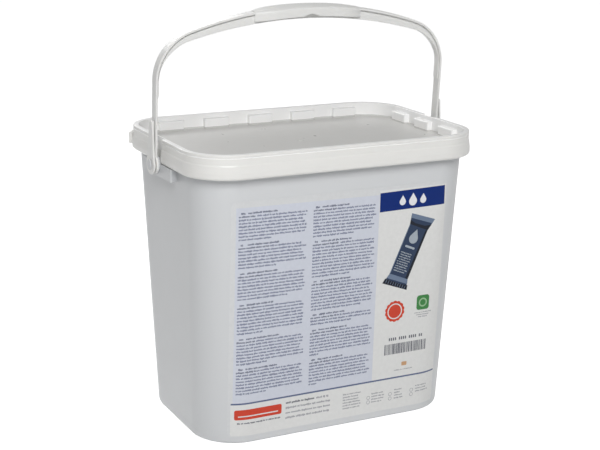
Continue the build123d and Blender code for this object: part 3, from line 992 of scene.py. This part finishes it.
def film_form(pail, sizes):
    """The film: a thin closed sheet with rounded corners that runs round both front corners."""
    columns = round(2 * sizes.half_width / CELL_AROUND)
    rows = round((sizes.high - sizes.low) / CELL_UP)
    form = bmesh.new()
    sheets = []
    for lift in (sizes.film, -FILM_SUNK):
        sheet = []
        for column in range(columns + 1):
            around = sizes.half_width * (2 * column / columns - 1)
            into_corner = max(0, abs(around) - sizes.half_width + sizes.corner)
            cut = sizes.corner - math.sqrt(max(0, sizes.corner ** 2 - into_corner ** 2))
            low, high = sizes.low + cut, sizes.high - cut
            sheet.append([form.verts.new(on_wall(pail, around, low + (high - low) * row / rows, lift))
                          for row in range(rows + 1)])
        sheets.append(sheet)
    front, back = sheets
    for column in range(columns):
        for row in range(rows):
            for sheet in sheets:
                form.faces.new((sheet[column][row], sheet[column + 1][row],
                                sheet[column + 1][row + 1], sheet[column][row + 1]))
        for row in (0, rows):
            form.faces.new((front[column][row], front[column + 1][row],
                            back[column + 1][row], back[column][row]))
    for column in (0, columns):
        for row in range(rows):
            form.faces.new((front[column][row], front[column][row + 1],
                            back[column][row + 1], back[column][row]))
    bmesh.ops.recalc_face_normals(form, faces=form.faces)
    return form


def clipped(polygon, axis, low, high):
    """The part of a convex polygon between two values of one of its coordinates."""
    for limit, sign in ((low, 1), (high, -1)):
        kept = []
        for index, point in enumerate(polygon):
            before = polygon[index - 1]
            inside = sign * (point[axis] - limit) >= 0
            if inside != (sign * (before[axis] - limit) >= 0):
                share = (limit - before[axis]) / (point[axis] - before[axis])
                kept.append(tuple(b + (p - b) * share for b, p in zip(before, point)))
            if inside:
                kept.append(point)
        polygon = kept
    return polygon


WORD_LETTERS = (2, 9)
LETTER_RISES = (0.72, 0.72, 0.72, 1.0, 1.0, 0.78)
LETTER_DROPS = (0, 0, 0, 0, 0.22)
LETTER_FILL = 0.82
WORD_GAP = 0.7


class Ink:
    """One colour of print: convex polygons in millimetres round the wall and up it."""

    def __init__(self, pail, sizes, layer):
        self.pail = pail
        self.lift = sizes.film + layer * sizes.ink
        self.form = bmesh.new()
        self.turn_to((0, 0), 0)
        self.sag_from = None

    def turn_to(self, origin, degrees):
        """Draws what follows about an origin, turned clockwise."""
        self.origin = origin
        self.across = (math.cos(math.radians(degrees)), -math.sin(math.radians(degrees)))

    def sagged(self, x, z):
        """A place on the print, lowered to the right of sag_from, the more the higher it is."""
        if self.sag_from is None:
            return x, z
        return x, z - PRINT_SAG * (x - self.sag_from) * (z - PANEL_LOW) / (PANEL_HIGH - PANEL_LOW)

    def polygon(self, points):
        """Adds a convex polygon, cut along the cells so that it follows the wall."""
        (left, low), (cosine, sine) = self.origin, self.across
        points = [self.sagged(left + x * cosine - z * sine, low + x * sine + z * cosine) for x, z in points]
        points = [(x * MM, z * MM) for x, z in points]
        left, right = min(p[0] for p in points), max(p[0] for p in points)
        low, high = min(p[1] for p in points), max(p[1] for p in points)
        small = right - left < CELL_AROUND and high - low < CELL_UP
        columns = [None] if small else range(math.floor(left / CELL_AROUND), math.ceil(right / CELL_AROUND))
        rows = [None] if small else range(math.floor(low / CELL_UP), math.ceil(high / CELL_UP))
        for column in columns:
            strip = points
            if column is not None:
                strip = clipped(points, 0, column * CELL_AROUND, (column + 1) * CELL_AROUND)
            for row in rows:
                cell = strip
                if row is not None and strip:
                    cell = clipped(strip, 1, row * CELL_UP, (row + 1) * CELL_UP)
                self.face(cell)

    def face(self, cell):
        area = sum(a[0] * b[1] - b[0] * a[1] for a, b in zip(cell, cell[1:] + cell[:1])) / 2
        if len(cell) < 3 or abs(area) < SMALLEST_AREA:
            return
        if area < 0:
            cell = cell[::-1]
        self.form.faces.new([self.form.verts.new(on_wall(self.pail, x, z, self.lift)) for x, z in cell])

    def bar(self, left, low, right, high):
        self.polygon([(left, low), (right, low), (right, high), (left, high)])

    def drop(self, x, z, radius, rise, steps=28):
        """A drop: a disc drawn up to a point."""
        start = math.asin(radius / rise)
        points = [(x, z + rise)]
        for step in range(steps + 1):
            angle = math.pi - start + (math.pi + 2 * start) * step / steps
            points.append((x + radius * math.cos(angle), z + radius * math.sin(angle)))
        self.polygon(points)

    def ring(self, x, z, outer, inner, steps=40):
        for step in range(steps):
            turns = [math.tau * (step + more) / steps for more in (0, 1)]
            self.polygon([(x + radius * math.cos(turn), z + radius * math.sin(turn))
                          for radius, turn in ((outer, turns[0]), (outer, turns[1]),
                                               (inner, turns[1]), (inner, turns[0]))])

    def plate(self, left, low, right, high, corner, steps=6):
        """A rectangle with rounded corners."""
        points = []
        for quarter, (x, z) in enumerate(((right - corner, high - corner), (left + corner, high - corner),
                                          (left + corner, low + corner), (right - corner, low + corner))):
            for step in range(steps + 1):
                angle = (quarter + step / steps) * math.pi / 2
                points.append((x + corner * math.cos(angle), z + corner * math.sin(angle)))
        self.polygon(points)

    def words(self, draw, left, right, baseline, height, letter=1.05):
        """A greeked line: words made of small blocks of uneven height."""
        x = left
        while x < right - 2 * letter:
            for _ in range(draw.randint(*WORD_LETTERS)):
                if x > right - letter:
                    break
                rise = height * draw.choice(LETTER_RISES)
                drop = height * draw.choice(LETTER_DROPS)
                self.bar(x, baseline - drop, x + letter * LETTER_FILL, baseline + rise)
                x += letter
            x += letter * WORD_GAP

    def piece(self, name, colour, roughness=0.42, ior=1.46):
        """Ends the print as a piece on the pail, in an ink of its own."""
        bmesh.ops.remove_doubles(self.form, verts=self.form.verts, dist=INK_MERGE)
        piece = mesh_object(f"label_{name}", self.form)
        piece.data.shade_smooth()
        dress(piece, printed_ink(f"{name}_ink", colour, roughness, ior), "pail", "label_film")


# Places on the print are millimetres round the wall and up it: left, low, right, high, corner radius

PANEL_LEFT, PANEL_LOW, PANEL_RIGHT, PANEL_HIGH = -115.8, 44.5, 40.3, 246.4
PRINT_SAG = 0.014
COLUMNS = (
    (-113.0, -40.0, ((240.8, 8), (209.3, 7), (180.4, 8), (148.1, 9), (112.6, 8), (80.8, 8))),
    (-33.4, 38.0, ((239.1, 9), (203.8, 11), (162.5, 9), (127.3, 3), (110.9, 8), (79.0, 8))))
X_HEIGHT = 1.75
HEAD_LETTER = 1.15
HEAD_DARKER = 0.7
HEAD_MARK = (2.2, 7.5)
HEAD_START = 9.5
HEAD_END = (38, 46)
BOLD_END = (18, 34)
LAST_LINE_END = (10, 58)
RAGGED_EDGE = 7
SIDE_GROUND = (40.4, PANEL_LOW, 118.6, 248.6)
FOOT_GROUND = (-117.8, 9.0, 118.6, 43.9, 2.5)


def draw_text(pail, sizes, colours):
    """Pale grounds, and two columns of greeked paragraphs, each under a short heading."""
    ground, field, body, heads = (Ink(pail, sizes, layer) for layer in (1, 1, 2, 2))
    ground.bar(*SIDE_GROUND)
    ground.plate(*FOOT_GROUND)
    ground.piece("ground", colours.ground)
    field.sag_from = PANEL_LEFT
    field.bar(PANEL_LEFT, PANEL_LOW, PANEL_RIGHT, PANEL_HIGH)
    field.piece("text_field", colours.panel)
    pitch = sizes.line_pitch / MM
    draw = random.Random(sizes.seed)
    for left, right, paragraphs in COLUMNS:
        body.sag_from = heads.sag_from = left
        for top, lines in paragraphs:
            baseline = top - X_HEIGHT / 2
            heads.words(draw, left + HEAD_MARK[0], left + HEAD_MARK[1], baseline, X_HEIGHT, HEAD_LETTER)
            end = left + draw.uniform(*HEAD_END)
            heads.words(draw, left + HEAD_START, end, baseline, X_HEIGHT, HEAD_LETTER)
            bold = left + draw.uniform(*BOLD_END)
            for line in range(1, lines + 1):
                baseline -= pitch
                if line < lines:
                    end = right - draw.triangular(0, RAGGED_EDGE, 0)
                else:
                    end = left + draw.uniform(*LAST_LINE_END)
                if line == 1:
                    heads.words(draw, left, bold, baseline, X_HEIGHT)
                body.words(draw, bold if line == 1 else left, end, baseline, X_HEIGHT)
    body.piece("text", colours.text)
    heads.piece("headings", [channel * HEAD_DARKER for channel in colours.text])


BANNER = ((41.0, 226.1), (117.2, 227.3), (116.5, 247.3), (40.7, 245.9))
BANNER_MIDDLE = 236.0
BANNER_DROPS = ((67.0, 3.6), (79.0, 4.6), (91.0, 3.6))
DROP_FOOT_SHARE = 0.4
DROP_RISE_SHARE = 1.9
RULE = (-117.6, 42.9, 118.0, 44.6)


def draw_banner(pail, sizes, colours):
    """Dark blue banner with a row of three plain drops, and the rule under the text."""
    field, rule, mark = (Ink(pail, sizes, layer) for layer in (2, 2, 3))
    field.polygon(BANNER)
    field.piece("banner", colours.navy, 0.4, 1.22)
    rule.bar(*RULE)
    rule.piece("rule", colours.rule, 0.4)
    for place, radius in BANNER_DROPS:
        mark.drop(place, BANNER_MIDDLE - radius * DROP_FOOT_SHARE, radius, radius * DROP_RISE_SHARE)
    mark.piece("banner_mark", colours.drops)


# The pictured tablet stands on the middle of its lower end, and leans over to the right

PICTURE_FOOT = (62.05, 144.9)
PICTURE_TURN = 23.0
PICTURE_WRAP = (((-11.7, 10), (11.7, 10), (11.3, 66), (-11.9, 66)),
                ((-11.9, 66), (11.3, 66), (14.6, 79.4), (-14.6, 77.0)),
                ((-15.6, -0.6), (15.6, 0.8), (11.7, 10), (-11.7, 10)))
PICTURE_SHADE = (((8.4, 11), (11.7, 10), (11.3, 66), (9.1, 65)),
                 ((-11.9, 66), (11.3, 66), (13.2, 72.6), (6, 69.4), (-6, 68.6), (-13, 70.2)),
                 ((-15.6, -0.6), (15.6, 0.8), (14.4, 5.6), (4, 4.6), (-14.4, 5.0)))
PICTURE_SHEEN = (((-13.3, 72.4), (13.5, 74.4), (14.6, 79.4), (-14.6, 77.0)),
                 ((-13.2, 6.2), (13.4, 6.8), (11.6, 11.6), (-11.6, 11.4)),
                 ((-11.7, 12), (-10.9, 12), (-11.2, 66), (-11.9, 66)))
CRIMPS = range(-12, 13, 3)
CRIMP = ((-0.3, 1.2), (0.3, 1.2), (0.2, 4.6), (-0.2, 4.6))
PICTURE_DROP = (-1.0, 53.0, 5.2, 10.4)
PICTURE_BAR = (-7.0, 42.4, 5.0, 44.6, 0.9)
PICTURE_LINES = 9
PICTURE_LINES_TOP = 36.0
PICTURE_PITCH = 2.5
PICTURE_LINES_LEFT = -9.5
PICTURE_LINES_RIGHT = 7.4


def draw_picture(pail, sizes, colours):
    """Picture of a wrapped tablet with a plain drop on its wrap."""
    draw = random.Random(sizes.seed + 1)
    wrap, shade, sheen, pale = (Ink(pail, sizes, layer) for layer in (2, 3, 4, 4))
    for ink in (wrap, shade, sheen, pale):
        ink.turn_to(PICTURE_FOOT, PICTURE_TURN)
    crimps = [[(place + x, z) for x, z in CRIMP] for place in CRIMPS]
    for ink, shapes in ((wrap, PICTURE_WRAP), (shade, PICTURE_SHADE),
                        (sheen, PICTURE_SHEEN), (sheen, crimps)):
        for shape in shapes:
            ink.polygon(shape)
    pale.drop(*PICTURE_DROP)
    pale.plate(*PICTURE_BAR)
    for line in range(PICTURE_LINES):
        left = PICTURE_LINES_LEFT + draw.uniform(0, 1.0)
        right = PICTURE_LINES_RIGHT - draw.uniform(0, 3)
        pale.words(draw, left, right, PICTURE_LINES_TOP - PICTURE_PITCH * line, 1.2, 0.9)
    wrap.piece("picture_wrap", colours.picture, 0.4, 1.3)
    shade.piece("picture_shade", colours.shade, 0.4, 1.3)
    sheen.piece("picture_sheen", colours.sheen, 0.4)
    pale.piece("picture_print", colours.pale, 0.4)


ROSETTE = (64.0, 117.9)
ROSETTE_REACH = 11.6
ROSETTE_RING = (8.6, 7.4)
SCALLOPS = 14
SCALLOP_STEPS = 8
SCALLOP_DEPTH_SHARE = 0.08
GREEN_PLATE = (89.9, 115.4, 104.9, 131.4, 3.0)
GREEN_PLATE_RING = (97.4, 123.4, 4.9, 3.3)
SPOT = (75.2, 56.0, 81.4, 60.3, 0.8)
RED_BAR = (-114, 26.4, -63, 37.2, 2.0)
RED_BAR_LINE = (-110, 29.4, -67, 30.6)


def draw_marks(pail, sizes, colours):
    """Plain marks: red rosette, green plate with a pale ring, orange spot and red bar with a white line."""
    reds, whites, greens, mints, spots = (Ink(pail, sizes, layer) for layer in (2, 3, 2, 3, 2))
    edge = []
    for step in range(SCALLOPS * SCALLOP_STEPS):
        turn = math.tau * step / (SCALLOPS * SCALLOP_STEPS)
        reach = ROSETTE_REACH * (1 - SCALLOP_DEPTH_SHARE * (1 - abs(math.sin(turn * SCALLOPS / 2))))
        edge.append((ROSETTE[0] + reach * math.cos(turn), ROSETTE[1] + reach * math.sin(turn)))
    for step, point in enumerate(edge):
        reds.polygon([ROSETTE, point, edge[(step + 1) % len(edge)]])
    whites.ring(*ROSETTE, *ROSETTE_RING)
    greens.plate(*GREEN_PLATE)
    mints.ring(*GREEN_PLATE_RING)
    spots.plate(*SPOT)
    reds.plate(*RED_BAR)
    whites.bar(*RED_BAR_LINE)
    reds.piece("red_fields", colours.red, 0.4, 1.3)
    whites.piece("white_fields", colours.white)
    greens.piece("green_plate", colours.green, 0.4, 1.3)
    mints.piece("pale_ring", colours.mint)
    spots.piece("spot", colours.orange)


CODE_LEFT, CODE_LOW, CODE_RIGHT, CODE_HIGH = 53.8, 70.5, 102.4, 82.0
CODE_WIDTHS = (0.6, 0.6, 1.0, 1.4)
CODE_GAPS = (0.4, 0.5, 0.8)
DIGITS = 17
DIGIT_GROUP = 5
DIGIT_PITCH = 2.4
FIRST_DIGIT = (58.6, 85.7, 60.1, 89.0)
BAR_CAPTION = (-111, -64, 21.8, 1.5, 1.05)
ADDRESS_HEAD = (-58.4, -26, 36.0, 2.2, 1.4)
SPOT_CAPTION = (66.6, 89.3, 51.4, 1.1, 0.8)
PLATE_CAPTION = ((87.5, 108.5, 112.1, 1.1, 0.8), (90.0, 106.0, 109.7, 1.1, 0.8),
                 (92.5, 103.5, 107.3, 1.1, 0.8))
ADDRESS_LINES = ((-24, 36.0), (-58.4, 30.6), (-58.4, 25.2), (-58.4, 19.8))
ADDRESS_END = (-12, -6)
SMALL_BLOCKS = ((7, 31, 35.4, 6, 0.0), (35.5, 57.8, 30.9, 4, 5.2),
                (61.6, 82.4, 30.8, 4, 6.4), (87.4, 112, 31.3, 3, 6.2))
SMALL_PITCH = 3.1
SMALL_DROP = 1.6
SMALL_RAGGED_EDGE = 5
ICON = (1.6, 2.1, 1.6)
ICON_PITCH = 5.0


def draw_small_print(pail, sizes, colours):
    """Bars, greeked number line, address lines and small pictogram columns."""
    draw = random.Random(sizes.seed + 2)
    dark, ink = (Ink(pail, sizes, 2) for _ in range(2))
    place = CODE_LEFT
    while place < CODE_RIGHT:
        width = draw.choice(CODE_WIDTHS)
        dark.bar(place, CODE_LOW, place + width, CODE_HIGH)
        place += width + draw.choice(CODE_GAPS)
    left, low, right, high = FIRST_DIGIT
    for digit in range(DIGITS):
        if digit % DIGIT_GROUP < DIGIT_GROUP - 1:
            shift = DIGIT_PITCH * digit
            dark.plate(left + shift, low, right + shift, high, 0.4, 2)
    dark.words(draw, *BAR_CAPTION)
    dark.words(draw, *ADDRESS_HEAD)
    for line in (SPOT_CAPTION, *PLATE_CAPTION):
        ink.words(draw, *line)
    for left, baseline in ADDRESS_LINES:
        ink.words(draw, left, draw.uniform(*ADDRESS_END), baseline, 2.0, 1.35)
    for left, right, top, lines, icon in SMALL_BLOCKS:
        if icon:
            for number in (1, 2):
                ink.ring(left + ICON[0], top - ICON_PITCH * number, ICON[1], ICON[2], 14)
        for line in range(lines):
            end = right - draw.uniform(0, SMALL_RAGGED_EDGE)
            ink.words(draw, left + icon, end, top - SMALL_PITCH * line - SMALL_DROP, 1.4, 1.0)
    dark.piece("dark_print", colours.black)
    ink.piece("small_print", colours.grey)


# Camera, lamps and stage

CAMERA_PLACE = (-0.628815, -1.250461, 0.567329)
CAMERA_AZIMUTH = math.radians(-26.722)
CAMERA_ELEVATION = math.radians(14.931)
CAMERA_ROLL = math.radians(0.644)
CAMERA_LENS = 82.634
SENSOR_WIDTH = 36.0
WORLD_LIGHT = 0.16
WORLD_SEEN = 1.0
KEY_BOX = {"place": (-0.62, -1.69, 1.5), "target": (0, 0, 0.2), "width": 1.1, "height": 0.9, "power": 30.5}
BACK_BOX = {"place": (-0.1, 1.3, 1.1), "target": (0, 0, 0.25), "width": 1.0, "height": 0.5, "power": 9.0}
FLAG_PLACE = (0.9, 1.79, 0.85)
FLAG_SIZE = (2.4, 1.0)
FLAG_LEVEL = 0.35
FLOOR_SIZE = (28.0, 28.0)
FLOOR_PLACE = (0, 0, -0.05 * MM)
FLOOR_SHADE = (0.86, 0.86, 0.86, 1)
FLOOR_GLOW = 0.82


def aim_camera():
    """The camera that took the photograph: turned, tilted down and rolled a little."""
    azimuth, elevation = CAMERA_AZIMUTH, CAMERA_ELEVATION
    back = Vector((math.sin(azimuth) * math.cos(elevation), -math.cos(azimuth) * math.cos(elevation),
                   math.sin(elevation)))
    right = Vector((math.cos(azimuth), math.sin(azimuth), 0))
    turn = Matrix((right, back.cross(right), back)).transposed() @ Matrix.Rotation(CAMERA_ROLL, 3, "Z")
    camera = bpy.data.objects.new("camera", bpy.data.cameras.new("camera"))
    camera.data.lens = CAMERA_LENS
    camera.data.sensor_width = SENSOR_WIDTH
    camera.matrix_world = Matrix.Translation(CAMERA_PLACE) @ turn.to_4x4()
    bpy.context.scene.collection.objects.link(camera)
    bpy.context.scene.camera = camera


def add_softbox(name, place, target, width, height, power):
    """A soft rectangular lamp that faces a point."""
    lamp = bpy.data.lights.new(name, "AREA")
    lamp.shape = "RECTANGLE"
    lamp.size = width
    lamp.size_y = height
    lamp.energy = power
    box = bpy.data.objects.new(name, lamp)
    box.location = place
    box.rotation_euler = (Vector(place) - Vector(target)).to_track_quat("Z", "Y").to_euler()
    bpy.context.scene.collection.objects.link(box)


def add_sheet(name, place, size, material):
    """A flat sheet that belongs to the stage."""
    corners = [(x * size[0] / 2, y * size[1] / 2, 0) for x, y in ((-1, -1), (1, -1), (1, 1), (-1, 1))]
    mesh = bpy.data.meshes.new(name)
    mesh.from_pydata(corners, [], [(0, 1, 2, 3)])
    mesh.materials.append(material)
    sheet = bpy.data.objects.new(name, mesh)
    sheet.location = place
    bpy.context.scene.collection.objects.link(sheet)
    return sheet


def add_flag():
    """A grey board behind the object that only its glossy faces see."""
    grey = Finish("flag_grey", Base_Color=BLACK, Emission_Color=WHITE, Emission_Strength=FLAG_LEVEL)
    flag = add_sheet("flag", FLAG_PLACE, FLAG_SIZE, grey.material)
    flag.rotation_euler = Vector((*FLAG_PLACE[:2], 0)).to_track_quat("Z", "Y").to_euler()
    flag.visible_camera = False
    flag.visible_diffuse = False
    flag.visible_shadow = False


def build_stage():
    """Pale floor that keeps the shadow, white surroundings and soft lamps."""
    scene = bpy.context.scene
    scene.view_settings.view_transform = "Standard"
    paper = Finish("paper_floor", Base_Color=FLOOR_SHADE, Roughness=0.8, Emission_Color=WHITE)
    paper.shade(Emission_Strength=paper.seen_directly() * FLOOR_GLOW)
    add_sheet("floor", FLOOR_PLACE, FLOOR_SIZE, paper.material)
    world = bpy.data.worlds.new("surroundings")
    world.use_nodes = True
    scene.world = world
    surroundings = Nodes(world.node_tree)
    background = surroundings.tree.nodes["Background"]
    background.inputs["Color"].default_value = WHITE
    surroundings.feed(background.inputs["Strength"],
                      surroundings.seen_directly() * (WORLD_SEEN - WORLD_LIGHT) + WORLD_LIGHT)
    add_softbox("key_box", **KEY_BOX)
    add_softbox("back_box", **BACK_BOX)
    add_flag()


# Operators and panel


class PailStep(bpy.types.Operator):
    """Shared ways of the pail's operators."""

    bl_options = {"REGISTER"}

    def settings(self, context):
        scene = context.scene
        return (scene.pail_sizes, scene.lid_sizes, scene.handle_sizes, scene.label_sizes,
                scene.pail_finishes)


class OBJECT_OT_pail_stage(PailStep):
    """Add the camera, the lamps, the floor and the white surroundings"""

    bl_idname = "object.pail_stage"
    bl_label = "Stage"

    def execute(self, context):
        aim_camera()
        build_stage()
        return {"FINISHED"}


class OBJECT_OT_pail_body(PailStep):
    """Build the pail with its brackets and pins"""

    bl_idname = "object.pail_body"
    bl_label = "Pail"

    def execute(self, context):
        pail, lid, handle, _, colours = self.settings(context)
        plastic = moulded_plastic("body_plastic", colours.body, **BODY_FINISH)
        dress(build_pail(pail, lid, handle), plastic, "pail", "body_plastic", "pail")
        return {"FINISHED"}


class OBJECT_OT_pail_lid(PailStep):
    """Build the lid with its pads, notches and tear-off lug"""

    bl_idname = "object.pail_lid"
    bl_label = "Lid"

    def execute(self, context):
        pail, lid, _, _, colours = self.settings(context)
        plastic = moulded_plastic("lid_plastic", colours.lid, lid=lid, **LID_FINISH)
        dress(build_lid(lid, pail), plastic, "lid", "lid_plastic", "lid")
        return {"FINISHED"}


class OBJECT_OT_pail_handle(PailStep):
    """Build the carry handle with its eyes and grip"""

    bl_idname = "object.pail_handle"
    bl_label = "Carry handle"

    def execute(self, context):
        pail, _, handle, _, colours = self.settings(context)
        plastic = moulded_plastic("handle_plastic", colours.handle, **HANDLE_FINISH)
        dress(build_handle(handle, pail), plastic, "handle", "handle_plastic", "carry_handle")
        return {"FINISHED"}


class OBJECT_OT_pail_label(PailStep):
    """Build the label film and its print"""

    bl_idname = "object.pail_label"
    bl_label = "Label"

    def execute(self, context):
        pail, _, _, label, colours = self.settings(context)
        film = mesh_object("label_film_sheet", film_form(pail, label))
        film.data.shade_smooth()
        film.data.set_sharp_from_angle(angle=SMOOTH_ANGLE)
        dress(film, printed_ink("film_ground", colours.film), "pail", "label_film", "front_label")
        for draw in (draw_text, draw_banner, draw_picture, draw_marks, draw_small_print):
            draw(pail, label, colours)
        return {"FINISHED"}


class OBJECT_OT_pail_tablets(PailStep):
    """Finish the wrapped tablets inside the pail"""

    bl_idname = "object.pail_tablets"
    bl_label = "Wrapped tablets"

    def execute(self, context):
        colours = self.settings(context)[-1]
        load = frame["nodes"]["wrapped_tablets"]
        load.data.materials.clear()
        load.data.materials.append(glossy_wrap("tablet_wrap", colours.wrap))
        return {"FINISHED"}


STEPS = (OBJECT_OT_pail_stage, OBJECT_OT_pail_body, OBJECT_OT_pail_lid, OBJECT_OT_pail_handle,
         OBJECT_OT_pail_label, OBJECT_OT_pail_tablets)


class VIEW3D_PT_pail(bpy.types.Panel):
    """Buttons for every piece of the pail"""

    bl_idname = "VIEW3D_PT_pail"
    bl_label = "Tablet pail"
    bl_space_type = "VIEW_3D"
    bl_region_type = "UI"
    bl_category = "Pail"

    def draw(self, context):
        for step in STEPS:
            self.layout.operator(step.bl_idname)


GROUPS = {"pail_sizes": PailSizes, "lid_sizes": LidSizes, "handle_sizes": HandleSizes,
          "label_sizes": LabelSizes, "pail_finishes": Finishes}


def register():
    for name, group in GROUPS.items():
        bpy.utils.register_class(group)
        setattr(bpy.types.Scene, name, PointerProperty(type=group))
    for step in STEPS:
        bpy.utils.register_class(step)
    bpy.utils.register_class(VIEW3D_PT_pail)


def unregister():
    bpy.utils.unregister_class(VIEW3D_PT_pail)
    for step in reversed(STEPS):
        bpy.utils.unregister_class(step)
    for name, group in reversed(GROUPS.items()):
        delattr(bpy.types.Scene, name)
        bpy.utils.unregister_class(group)


def main():
    """Registers the classes and builds every piece in order."""
    register()
    bpy.ops.object.pail_stage()
    bpy.ops.object.pail_body()
    bpy.ops.object.pail_lid()
    bpy.ops.object.pail_handle()
    bpy.ops.object.pail_label()
    bpy.ops.object.pail_tablets()


if __name__ == "__main__":
    main()
